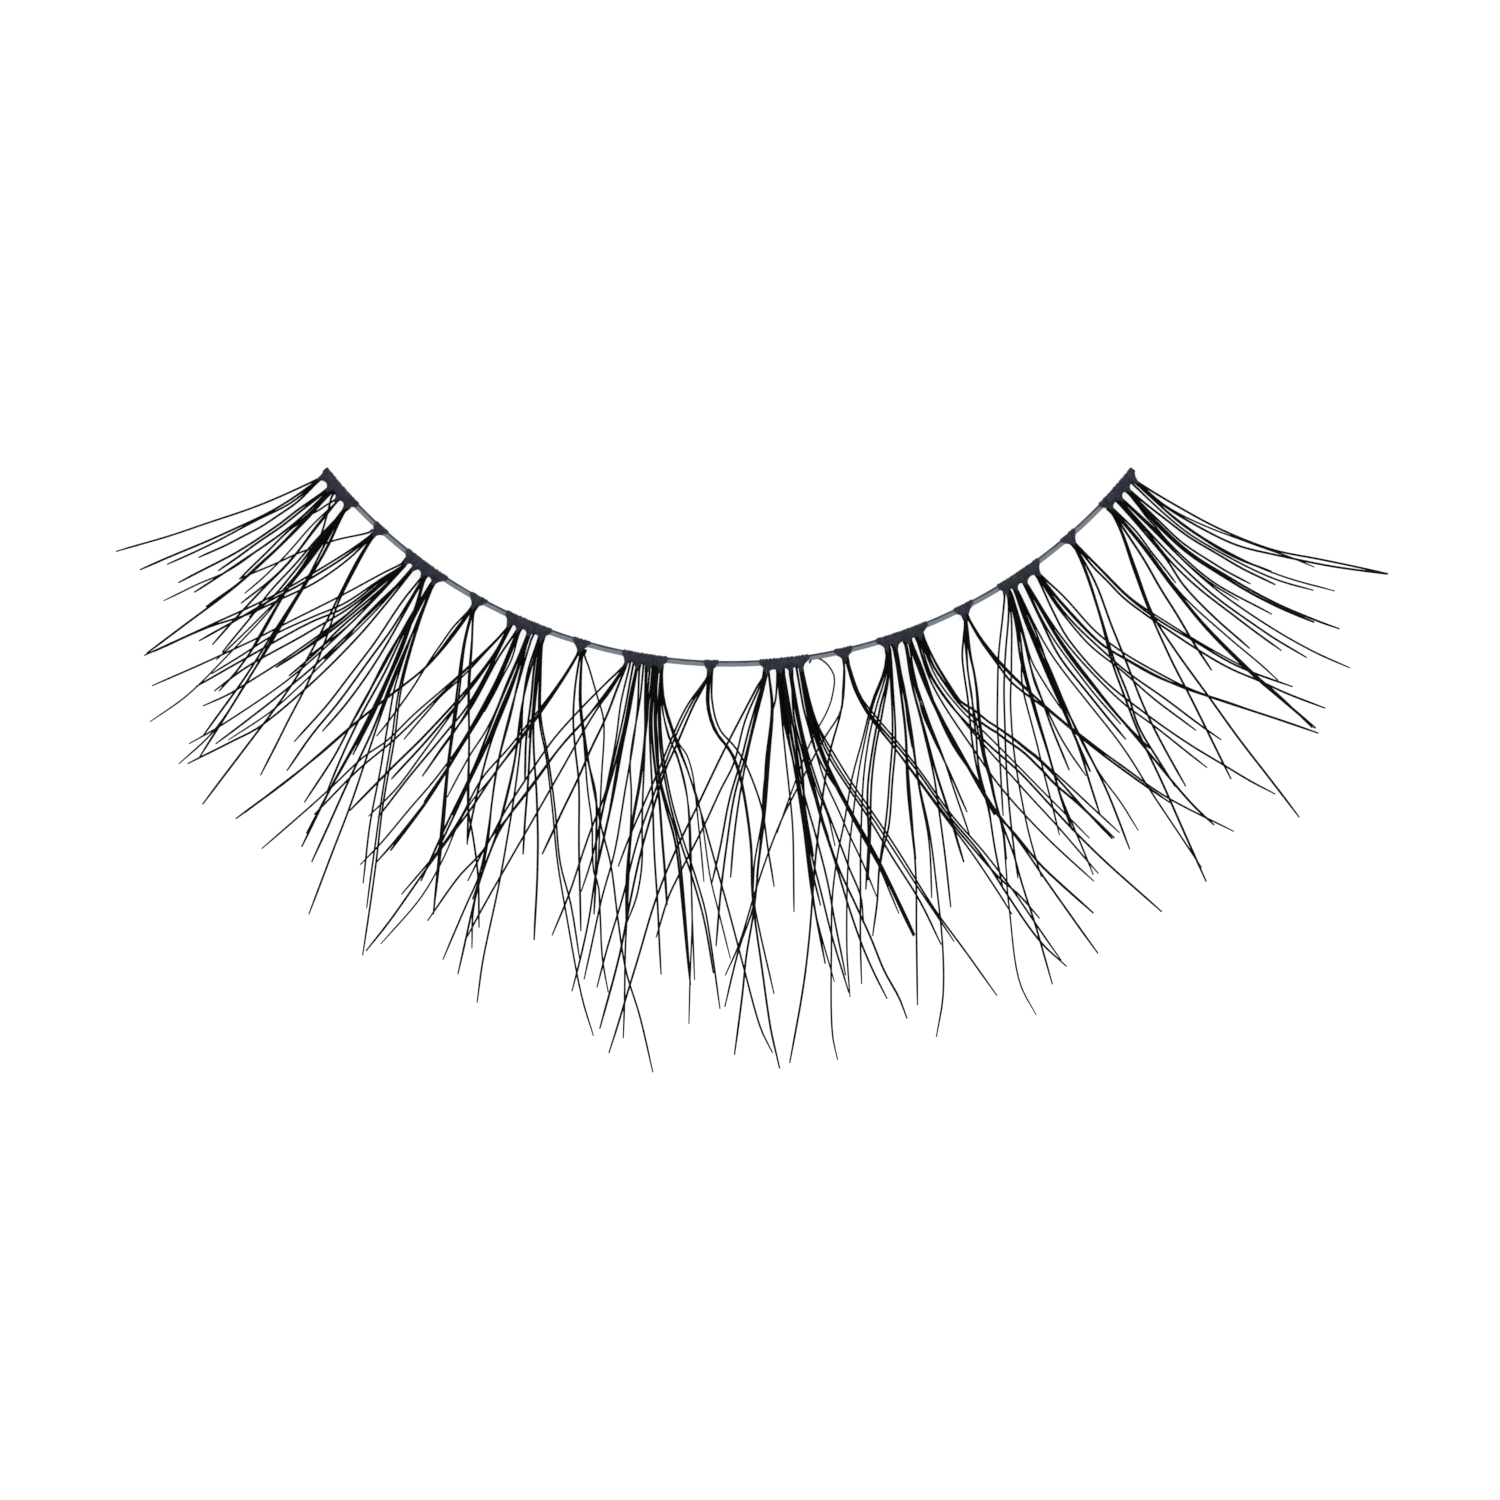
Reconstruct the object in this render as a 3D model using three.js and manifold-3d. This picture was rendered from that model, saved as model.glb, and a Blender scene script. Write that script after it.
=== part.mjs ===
// A false eyelash strip, lying on a flat surface. A thin curved filament, the band, carries wide
// clusters and narrow tufts of lashes in turn, each tied to it by glue-coated knots.
// The band is an arc in the XY plane with its hollow side towards +Y. The lashes fan out from its
// other side, dip to the surface and curl up along +Z. All lengths are in millimetres.
import * as THREE from "three";
import { mergeVertices } from "three/addons/utils/BufferGeometryUtils.js";
import Module from "manifold-3d";

const wasm = await Module();
wasm.setup();

// Driving dimensions of the band.
const BAND_LENGTH = 31.5; // along the curve, from end to end
const BAND_RADIUS = 17.6; // of the centre line's curve
const BAND_WIDTH = 0.2;
const BAND_THICKNESS = 0.18;
const BAND_STEPS = 32;
const BAND_SIDES = 8;

// Driving dimensions of the knots. Reaches count from the band's centre line.
const CLUSTER_KNOT_HEIGHT = 0.5;
const TUFT_KNOT_HEIGHT = 0.36;
const KNOT_POINT_REACH = 0.48; // where a lobe comes to its point and its lashes leave
const KNOT_VALLEY_REACH = 0.27; // between two lobes
const KNOT_BACK_REACH = 0.18; // on the hollow side
const KNOT_END_SHARE = 0.62; // size of a knot's section at its two ends
const KNOT_SIDES = 8;
const CHANNEL_CLEARANCE = 0.02; // between the band and the channel that holds it

// Driving dimensions of the lashes.
const LASH_REACH = 14; // the unit of the tips' reach beyond the band
const HAIR_DIAMETER = 0.12;
const CURL_RADIUS = 20; // of the upward curl, where a lash comes nearest to the surface
const HAIR_SIDES = 3;
const HAIR_STEPS = 4;
const MOST_STRANDS = 2; // that stand for the lashes of one lock
const SLIVER = 0.005; // detail finer than this is smoothed away where strands cross
const KNEE_SHARE = 0.5; // of a lash's length, over which it keeps the direction it left in
const TAPER_SHARE = 0.55; // of a lash's length, over which it thins out to its tip
const ROOT_DEPTH_SHARE = 0.4; // of the knot point's reach, where a lash starts inside the knot
const ROOT_SPREAD = 0.14; // between the outermost roots of one lock
const ROOT_STACK = 0.08; // between the lowest and the highest root of one lock
const LAYER_RISE = 0.05; // from the roots of a knot's lower locks to those of every second lock
const LAYER_DIP = 0.2; // by which every second lock dips less

// Places along the band are shares of its length, 0 at its left end and 1 at its right end.
// Each row is one lock of lashes. Its columns are the place of its root, its lean from the
// outward direction in degrees (positive towards the right end), its number of lashes, the place
// and reach of its first and of its last tip, the reach as a share of LASH_REACH, and its girth
// as a share of HAIR_DIAMETER.
const LOCK_COLUMNS = [
  "root", "lean", "count", "firstPlace", "firstReach", "lastPlace", "lastReach", "girth",
];

// Clusters, from the left end to the right. dip is how far the lashes sink towards the surface
// before they curl up: 1 touches it.
const CLUSTERS = [
  {
    from: -0.001, to: 0.0525, lobes: [0.0035, 0.0185, 0.032, 0.0445], dip: 1,
    locks: [
      [0.0035, -20, 1, -0.051, 0.528, -0.051, 0.528, 1.0],
      [0.0045, 0, 3, -0.03, 0.504, -0.009, 0.374, 1.0],
      [0.0165, -3, 3, -0.003, 0.448, 0.0105, 0.433, 1.0],
      [0.0175, -3, 2, 0.0, 0.504, 0.009, 0.355, 0.8],
      [0.0205, 2, 3, 0.022, 0.617, 0.027, 0.34, 1.0],
      [0.0212, 3, 1, 0.0255, 0.435, 0.0255, 0.435, 1.0],
      [0.032, 6, 3, 0.038, 0.344, 0.051, 0.487, 1.0],
      [0.032, 10, 1, 0.0425, 0.366, 0.0425, 0.366, 1.0],
      [0.0445, 6, 4, 0.056, 0.375, 0.08, 0.557, 1.0],
      [0.0445, 10, 3, 0.093, 0.66, 0.101, 0.705, 1.0],
      [0.046, 14, 1, 0.094, 0.75, 0.094, 0.75, 0.7],
    ],
  },
  {
    from: 0.1235, to: 0.178, lobes: [0.1315, 0.142, 0.154, 0.1675], dip: 0.5,
    locks: [
      [0.131, -25, 1, 0.042, 0.661, 0.042, 0.661, 0.7],
      [0.1315, -14, 3, 0.06, 0.726, 0.066, 0.54, 0.8],
      [0.1315, -12, 2, 0.079, 0.608, 0.09, 0.697, 1.0],
      [0.1315, -10, 2, 0.099, 0.419, 0.099, 0.43, 1.2],
      [0.142, -4, 5, 0.098, 0.736, 0.1125, 0.415, 1.0],
      [0.154, -2, 3, 0.148, 0.533, 0.1605, 0.471, 1.0],
      [0.156, 6, 2, 0.179, 0.638, 0.1885, 0.584, 1.0],
      [0.167, 8, 4, 0.19, 0.651, 0.205, 0.753, 1.0],
      [0.168, 12, 1, 0.22, 0.866, 0.22, 0.866, 1.0],
      [0.1695, 16, 4, 0.235, 0.704, 0.263, 0.897, 1.0],
    ],
  },
  {
    from: 0.251, to: 0.304, lobes: [0.259, 0.27, 0.282, 0.297], dip: 1,
    locks: [
      [0.258, -22, 3, 0.2104, 0.598, 0.2195, 0.385, 1.0],
      [0.26, -12, 4, 0.225, 0.589, 0.226, 0.473, 1.0],
      [0.2695, -8, 2, 0.172, 0.79, 0.176, 0.77, 0.7],
      [0.2705, 0, 4, 0.247, 0.446, 0.2494, 0.637, 1.0],
      [0.282, 2, 4, 0.271, 0.466, 0.2785, 0.675, 0.9],
      [0.295, 5, 2, 0.311, 0.833, 0.323, 0.857, 1.0],
      [0.296, 10, 3, 0.321, 0.76, 0.3414, 0.533, 1.2],
      [0.298, 14, 2, 0.34, 0.911, 0.3655, 0.728, 1.0],
      [0.3, 18, 2, 0.3955, 0.68, 0.4153, 0.926, 1.0],
    ],
  },
  {
    from: 0.384, to: 0.4335, lobes: [0.39, 0.402, 0.415, 0.4265], dip: 0.5,
    locks: [
      [0.389, -34, 3, 0.293, 0.759, 0.311, 0.833, 1.0],
      [0.39, -30, 2, 0.309, 0.634, 0.321, 0.763, 1.0],
      [0.391, -16, 1, 0.356, 0.52, 0.356, 0.52, 1.0],
      [0.394, -3, 3, 0.376, 0.704, 0.3988, 0.523, 1.0],
      [0.402, -2, 4, 0.397, 0.827, 0.404, 0.794, 1.0],
      [0.411, 5, 2, 0.413, 0.806, 0.4186, 0.904, 1.0],
      [0.418, 4, 4, 0.4225, 0.59, 0.4267, 0.651, 1.0],
      [0.4265, 8, 3, 0.4486, 0.672, 0.454, 0.758, 1.0],
      [0.428, 14, 5, 0.4743, 0.776, 0.4938, 0.833, 1.0],
    ],
  },
  {
    from: 0.533, to: 0.587, lobes: [0.54, 0.5545, 0.565, 0.5765], dip: 1,
    locks: [
      [0.538, -42, 2, 0.4264, 0.962, 0.4543, 0.59, 1.0],
      [0.539, -34, 3, 0.4866, 0.533, 0.5007, 0.518, 1.0],
      [0.541, 0, 3, 0.497, 0.83, 0.5034, 0.947, 1.0],
      [0.5545, 0, 4, 0.5473, 0.604, 0.565, 0.739, 1.0],
      [0.5645, 5, 4, 0.578, 0.832, 0.602, 0.845, 1.0],
      [0.574, 8, 3, 0.596, 0.658, 0.612, 0.9, 1.0],
      [0.5765, 12, 4, 0.6214, 0.65, 0.6295, 0.709, 1.2],
      [0.578, 14, 3, 0.645, 0.747, 0.67, 0.903, 1.0],
    ],
  },
  {
    from: 0.6615, to: 0.72, lobes: [0.6705, 0.68, 0.6945, 0.7075], dip: 0.5,
    locks: [
      [0.67, -28, 3, 0.5653, 0.972, 0.6055, 0.534, 1.0],
      [0.672, -20, 3, 0.6166, 0.543, 0.642, 0.531, 1.2],
      [0.679, -14, 4, 0.62, 0.874, 0.658, 0.666, 0.9],
      [0.6915, -6, 3, 0.677, 0.57, 0.691, 0.457, 1.1],
      [0.6955, 2, 3, 0.707, 0.6, 0.7255, 0.67, 1.0],
      [0.699, 14, 1, 0.7567, 0.732, 0.7567, 0.732, 1.0],
      [0.706, 4, 3, 0.7387, 0.893, 0.7465, 0.801, 1.0],
      [0.709, 12, 5, 0.7675, 0.634, 0.788, 0.658, 1.1],
    ],
  },
  {
    from: 0.8055, to: 0.859, lobes: [0.8105, 0.8215, 0.833, 0.8505], dip: 1,
    locks: [
      [0.8095, -34, 3, 0.7255, 0.67, 0.75, 0.597, 0.8],
      [0.811, -22, 3, 0.76, 0.604, 0.771, 0.392, 0.9],
      [0.8195, -16, 4, 0.779, 0.469, 0.7927, 0.496, 1.0],
      [0.8225, -12, 3, 0.789, 0.704, 0.801, 0.675, 1.0],
      [0.8325, -5, 4, 0.829, 0.474, 0.8397, 0.523, 1.0],
      [0.8475, -12, 2, 0.8388, 0.636, 0.8457, 0.65, 1.0],
      [0.85, -2, 3, 0.8658, 0.643, 0.8907, 0.796, 1.0],
      [0.851, 4, 3, 0.9214, 0.643, 0.939, 0.759, 1.2],
      [0.852, 8, 1, 0.8856, 0.612, 0.8856, 0.612, 1.0],
    ],
  },
  {
    from: 0.947, to: 1.001, lobes: [0.9535, 0.968, 0.9805, 0.9925], dip: 0.5,
    locks: [
      [0.951, -24, 3, 0.8735, 0.702, 0.893, 0.874, 1.0],
      [0.953, -14, 2, 0.9157, 0.469, 0.918, 0.48, 1.2],
      [0.9545, -8, 4, 0.9394, 0.746, 0.9478, 0.497, 1.0],
      [0.967, -8, 3, 0.9637, 0.557, 0.9724, 0.614, 1.0],
      [0.969, 0, 2, 0.98, 0.482, 0.986, 0.709, 0.8],
      [0.979, -4, 4, 0.9952, 0.571, 1.003, 0.628, 1.0],
      [0.982, 2, 3, 0.9994, 0.443, 1.0054, 0.415, 1.0],
      [0.992, -3, 3, 1.0137, 0.524, 1.023, 0.566, 0.9],
      [0.9935, 8, 4, 1.022, 0.382, 1.055, 0.648, 1.1],
    ],
  },
];

// Tufts, from the left end to the right: one lobe each.
const TUFTS = [
  {
    from: 0.078, to: 0.0965, lobes: [0.0857], dip: -0.1,
    locks: [
      [0.0817, -31, 1, 0.027, 0.33, 0.027, 0.33, 1.0],
      [0.0835, -14, 3, 0.023, 0.624, 0.042, 0.504, 1.0],
      [0.0865, 18, 2, 0.123, 0.784, 0.1425, 0.645, 1.0],
    ],
  },
  {
    from: 0.207, to: 0.228, lobes: [0.2172], dip: -0.5,
    locks: [
      [0.2155, -10, 3, 0.147, 0.765, 0.15, 0.74, 1.0],
      [0.2165, -8, 1, 0.199, 0.412, 0.199, 0.412, 1.0],
      [0.219, 22, 2, 0.295, 0.739, 0.298, 0.72, 1.0],
      [0.22, 24, 2, 0.2997, 0.555, 0.309, 0.634, 1.0],
    ],
  },
  {
    from: 0.3285, to: 0.348, lobes: [0.3395], dip: -0.1,
    locks: [
      [0.338, -20, 2, 0.264, 0.881, 0.2704, 0.854, 1.0],
      [0.341, 10, 2, 0.3904, 0.587, 0.3955, 0.68, 1.0],
      [0.3432, 13, 1, 0.434, 0.921, 0.434, 0.921, 1.0],
      [0.3445, 30, 1, 0.4525, 0.98, 0.4525, 0.98, 1.0],
    ],
  },
  {
    from: 0.4725, to: 0.489, lobes: [0.479], dip: -0.5,
    locks: [
      [0.478, -33, 4, 0.4147, 0.511, 0.4186, 0.904, 1.0],
      [0.48, 2, 4, 0.527, 0.947, 0.534, 0.543, 1.0],
    ],
  },
  {
    from: 0.614, to: 0.635, lobes: [0.6245], dip: -0.1,
    locks: [
      [0.623, -17, 1, 0.497, 0.754, 0.497, 0.754, 1.0],
      [0.623, -15, 1, 0.5366, 0.968, 0.5366, 0.968, 1.0],
      [0.626, 12, 4, 0.697, 0.726, 0.716, 0.887, 0.9],
    ],
  },
  {
    from: 0.7515, to: 0.775, lobes: [0.76], dip: -0.5,
    locks: [
      [0.7585, -32, 4, 0.7049, 0.918, 0.71, 0.651, 1.0],
      [0.762, 8, 4, 0.8298, 0.657, 0.8532, 0.803, 1.1],
    ],
  },
  {
    from: 0.89, to: 0.91, lobes: [0.899], dip: -0.1,
    locks: [
      [0.8975, -23, 4, 0.8205, 0.866, 0.8457, 0.65, 1.1],
      [0.8995, 3, 3, 0.94, 0.746, 0.9544, 0.728, 1.0],
    ],
  },
];

const materials = {
  band: new THREE.MeshStandardMaterial({ color: 0x7b858c, roughness: 0.3, metalness: 0 }),
  lash: new THREE.MeshStandardMaterial({ color: 0x0b0b0d, roughness: 0.4, metalness: 0 }),
};

// Height of the band's centre line, in the middle of the cluster knots that the strip rests on.
const BAND_HEIGHT = CLUSTER_KNOT_HEIGHT / 2;

// A named view of one row of a table.
function named(columns, row) {
  return Object.fromEntries(columns.map((column, i) => [column, row[i]]));
}

function angleAt(place) {
  return ((place - 0.5) * BAND_LENGTH) / BAND_RADIUS;
}

// A point beside the band: its place along it, its reach beyond it and its height.
function stripPoint(place, reach, height) {
  const angle = angleAt(place);
  const radius = BAND_RADIUS + reach;
  return new THREE.Vector3(radius * Math.sin(angle), -radius * Math.cos(angle), height);
}

// A closed rod whose vertices are set by a rule. The rule gets the step along the rod and the
// vertex's offset across it, out and up. The flat sides lie at 1, or the corners of a pointed rod.
function rod(sides, steps, rule, pointed = false) {
  const tipRadius = pointed ? 0 : 1;
  const turn = Math.PI / sides;
  const shape = new THREE.CylinderGeometry(tipRadius, 1, steps, sides, steps, false, turn);
  shape.deleteAttribute("normal");
  shape.deleteAttribute("uv");
  const vertices = shape.attributes.position;
  const flat = pointed ? 1 : Math.cos(turn);
  for (let i = 0; i < vertices.count; i++) {
    const step = Math.round(vertices.getY(i) + steps / 2);
    const girth = pointed ? 1 - step / steps : 1;
    const scale = girth > 0 ? 1 / (girth * flat) : 0;
    const point = rule(step, vertices.getX(i) * scale, vertices.getZ(i) * scale);
    vertices.setXYZ(i, point.x, point.y, point.z);
  }
  return mergeVertices(shape, 1e-5);
}

// The band, or with a clearance the channel that a knot keeps free for it, between two of its
// even steps.
function bandRod(firstStep, lastStep, clearance) {
  const halfWidth = BAND_WIDTH / 2 + clearance;
  const halfHeight = BAND_THICKNESS / 2 + clearance;
  return rod(BAND_SIDES, lastStep - firstStep, (step, out, up) =>
    stripPoint((firstStep + step) / BAND_STEPS, out * halfWidth, BAND_HEIGHT + up * halfHeight));
}

// The channel right through one knot: the whole steps that cover it, with one more on each side.
function channel(knot) {
  const first = Math.floor(knot.from * BAND_STEPS) - 1;
  const last = Math.ceil(knot.to * BAND_STEPS) + 1;
  return bandRod(first, last, CHANNEL_CLEARANCE);
}

// A knot's sections along the band: its two ends, the lobes' points and the valleys between them.
function knotSections(knot) {
  const end = { reach: KNOT_VALLEY_REACH * KNOT_END_SHARE, size: KNOT_END_SHARE };
  const sections = [{ place: knot.from, ...end }];
  knot.lobes.forEach((place, i) => {
    if (i > 0) {
      const between = (knot.lobes[i - 1] + place) / 2;
      sections.push({ place: between, reach: KNOT_VALLEY_REACH, size: 1 });
    }
    sections.push({ place, reach: KNOT_POINT_REACH, size: 1 });
  });
  sections.push({ place: knot.to, ...end });
  return sections;
}

function knotRod(knot, height) {
  const sections = knotSections(knot);
  return rod(KNOT_SIDES, sections.length - 1, (step, out, up) => {
    const { place, reach, size } = sections[step];
    const back = -KNOT_BACK_REACH * size;
    const across = back + ((out + 1) / 2) * (reach - back);
    return stripPoint(place, across, BAND_HEIGHT + (up * height * size) / 2);
  });
}

// The strip is curled as a whole, so a lash's height follows its reach beyond its root: it sinks
// by its dip, where a dip of 1 just touches the surface, and then rises.
function curlLift(reach, dip) {
  const drop = BAND_HEIGHT - (LAYER_RISE + ROOT_STACK + HAIR_DIAMETER) / 2;
  const fall = dip * Math.sqrt((2 * Math.max(drop, 0)) / CURL_RADIUS);
  return -fall * reach + (reach * reach) / (2 * CURL_RADIUS);
}

// A strand of a lock, at a share of the way from its first lash to its last: a bow in plan from
// the knot to its tip, lifted by the curl.
function lash(lock, share, layer, dip) {
  const radius = (HAIR_DIAMETER / 2) * lock.girth;
  const rootPlace = lock.root + ((share - 0.5) * ROOT_SPREAD) / BAND_LENGTH;
  const rootHeight = BAND_HEIGHT + ROOT_STACK * (share - 0.5) + LAYER_RISE * (layer - 0.5);
  const tipPlace = THREE.MathUtils.lerp(lock.firstPlace, lock.lastPlace, share);
  const tipReach = THREE.MathUtils.lerp(lock.firstReach, lock.lastReach, share) * LASH_REACH;
  const root = stripPoint(rootPlace, KNOT_POINT_REACH * ROOT_DEPTH_SHARE, 0);
  const tip = stripPoint(tipPlace, tipReach, 0);
  const direction = stripPoint(rootPlace, 1, 0).sub(stripPoint(rootPlace, 0, 0));
  direction.applyAxisAngle(new THREE.Vector3(0, 0, 1), THREE.MathUtils.degToRad(lock.lean));
  const knee = direction.multiplyScalar(KNEE_SHARE * root.distanceTo(tip)).add(root);
  const bow = new THREE.QuadraticBezierCurve3(root, knee, tip);
  const up = new THREE.Vector3(0, 0, 1);
  return rod(HAIR_SIDES, HAIR_STEPS, (step, out, rise) => {
    const along = step / HAIR_STEPS;
    const point = bow.getPointAt(along);
    const lift = curlLift(point.length() - root.length(), dip - LAYER_DIP * layer);
    const side = bow.getTangentAt(along).cross(up);
    const girth = radius * Math.min((1 - along) / TAPER_SHARE, 1);
    return point.addScaledVector(side, out * girth).setZ(rootHeight + lift + rise * girth);
  }, true);
}

function solid(geometry) {
  return new wasm.Manifold(new wasm.Mesh({
    numProp: 3,
    vertProperties: geometry.attributes.position.array,
    triVerts: new Uint32Array(geometry.index.array),
  }));
}

function geometryOf(body) {
  const { vertProperties, triVerts } = body.getMesh();
  const geometry = new THREE.BufferGeometry();
  geometry.setAttribute("position", new THREE.BufferAttribute(vertProperties, 3));
  geometry.setIndex(new THREE.BufferAttribute(triVerts, 1));
  geometry.computeVertexNormals();
  return geometry;
}

// The body without the slivers and tiny pockets that crossing lashes leave.
function cleaned(body) {
  const shells = body.simplify(SLIVER).decompose().filter((shell) => shell.volume() > 0);
  return shells.reduce((whole, shell) => whole.add(shell));
}

// A knot with its lashes fused to it and the band's channel cut through it.
function lashGroup(knot, height) {
  let body = solid(knotRod(knot, height)).subtract(solid(channel(knot)));
  knot.locks.forEach((row, i) => {
    const lock = named(LOCK_COLUMNS, row);
    const strands = Math.min(lock.count, MOST_STRANDS);
    const layer = i % 2;
    for (let number = 0; number < strands; number++) {
      const share = strands > 1 ? number / (strands - 1) : 0.5;
      body = body.add(solid(lash(lock, share, layer, knot.dip)));
    }
  });
  return geometryOf(cleaned(body));
}

function mesh(name, geometry, material) {
  const made = new THREE.Mesh(geometry, material);
  made.name = name;
  return made;
}

const strip = new THREE.Group();
strip.add(mesh("band", bandRod(0, BAND_STEPS, 0), materials.band));
CLUSTERS.forEach((cluster, i) => {
  strip.add(mesh(`hair_cluster_${i + 1}`, lashGroup(cluster, CLUSTER_KNOT_HEIGHT), materials.lash));
});
TUFTS.forEach((tuft, i) => {
  strip.add(mesh(`hair_tuft_${i + 1}`, lashGroup(tuft, TUFT_KNOT_HEIGHT), materials.lash));
});

// The origin is in the middle of the strip's outline, on the surface that it lies on.
const outline = new THREE.Box3().setFromObject(strip);
const middle = outline.getCenter(new THREE.Vector3());
strip.position.set(-middle.x, -middle.y, -outline.min.z);

const part = new THREE.Group();
part.add(strip);

export default part;
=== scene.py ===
"""A false eyelash strip, lying on a pale surface and seen from straight above."""

import math
import random

import bpy
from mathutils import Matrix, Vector, noise


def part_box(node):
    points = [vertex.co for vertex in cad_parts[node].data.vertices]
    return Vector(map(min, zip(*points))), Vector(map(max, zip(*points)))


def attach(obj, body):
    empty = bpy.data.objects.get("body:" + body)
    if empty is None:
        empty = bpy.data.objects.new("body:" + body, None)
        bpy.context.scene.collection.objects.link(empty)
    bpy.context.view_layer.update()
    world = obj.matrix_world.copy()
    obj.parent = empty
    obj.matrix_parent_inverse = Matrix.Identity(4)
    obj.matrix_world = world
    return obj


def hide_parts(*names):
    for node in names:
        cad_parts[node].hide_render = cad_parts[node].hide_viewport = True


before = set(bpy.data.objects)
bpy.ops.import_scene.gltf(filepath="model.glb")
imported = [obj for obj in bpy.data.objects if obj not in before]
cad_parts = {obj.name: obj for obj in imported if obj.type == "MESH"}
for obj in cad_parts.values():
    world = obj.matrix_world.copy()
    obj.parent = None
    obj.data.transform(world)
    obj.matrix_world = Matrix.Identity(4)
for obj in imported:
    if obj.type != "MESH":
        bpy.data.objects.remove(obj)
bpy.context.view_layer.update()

MM = 0.001
UP = Vector((0, 0, 1))
SIDEWAYS = Vector((1, 0, 0))
STEEP = 0.9  # a tube that rises more than this can't take its first direction from UP

# The band.
BAND_LENGTH = 31.5 * MM
BAND_RADIUS = 17.6 * MM
BAND_WIDTH = 0.2 * MM
BAND_THICKNESS = 0.18 * MM
BAND_STEPS = 360
BAND_SIDES = 20
BAND_SQUARENESS = 0.7  # 1 is an oval section and 0 a box
BAND_END_GIRTH = 0.35  # the square of the girth at its ends, as a share

# The knots. Reaches count from the band's centre line, and shares are of a lobe's full section.
CLUSTER_KNOT_HEIGHT = 0.5 * MM
TUFT_KNOT_HEIGHT = 0.36 * MM
KNOT_POINT_REACH = 0.48 * MM
KNOT_VALLEY_REACH = 0.27 * MM
KNOT_VALLEY_SHARE = 0.94
KNOT_BACK_REACH = 0.13 * MM
KNOT_END_REACH = 0.1 * MM
KNOT_END_SHARE = 0.75
KNOT_BLUNT_LENGTH = 0.05 * MM
KNOT_END_GIRTH = 0.75  # the square of the girth at the ends, as a share
KNOT_CORE_GIRTH = 0.93
KNOT_STEP = 0.035 * MM
KNOT_SIDES = 28
POINT_FLATNESS = 0.5  # how much thinner a lobe is at its point than over the band
GLUE_LUMP = 0.014 * MM
GLUE_GRAIN = 9000.0

# The fibre loops wound round the knots.
LOOP_RADIUS = 0.024 * MM
LOOP_RADIUS_SHARES = (0.85, 1.1)
LOOP_GIRTHS = (0.9, 0.95)
LOOPS_PER_LOBE = 7
LOOP_MARGIN = 0.06  # between the outermost loops and the lobe's edges, as a share of the lobe
LOOP_SHIFT = 0.0006  # shifts and slants are shares of the band's length
LOOP_SLANT = 0.0007
LOOP_GATHER = 0.75  # below 1 the loops spread soon after they leave the lobe's point
LOOP_STEPS = 30
LOOP_SIDES = 7

# The lashes.
LASH_REACH = 14 * MM
THOUSANDTH = 0.001
HAIR_DIAMETER = 0.07 * MM
GIRTH_SPREAD = 0.35  # how much of a lash's difference from the usual girth is kept
GIRTH_CHANGE = 0.06
CURL_RADIUS = 20 * MM
HAIR_STEPS = 40
HAIR_SIDES = 8
TAPER_SHARE = 0.06
TIP_GIRTH = 0.7
GLUE_SWELL = 0.2  # how much thicker a lash is at its knot, where glue coats it
GLUE_LENGTH = 0.7 * MM
ROOT_REACH = 0.19 * MM
ROOT_SPREAD = 0.05 * MM
ROOT_STACK = 0.08 * MM
LAYERS = 2
LAYER_RISE = 0.05 * MM
LAYER_DIP = 0.2
DIP_CHANGE = 0.1
WAVE_HEIGHT = 0.012 * MM
WAVES = (1.5, 3.0)
LASHES_PER_UNIT = 3  # of the coordinate that numbers the fibres

# Noise stays mostly between these.
NOISE_LOW = 0.3
NOISE_HIGH = 0.7
SHADE_LINE_BLUR = 0.35  # how far the cloudiness moves the painted shade line along the filament
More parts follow.
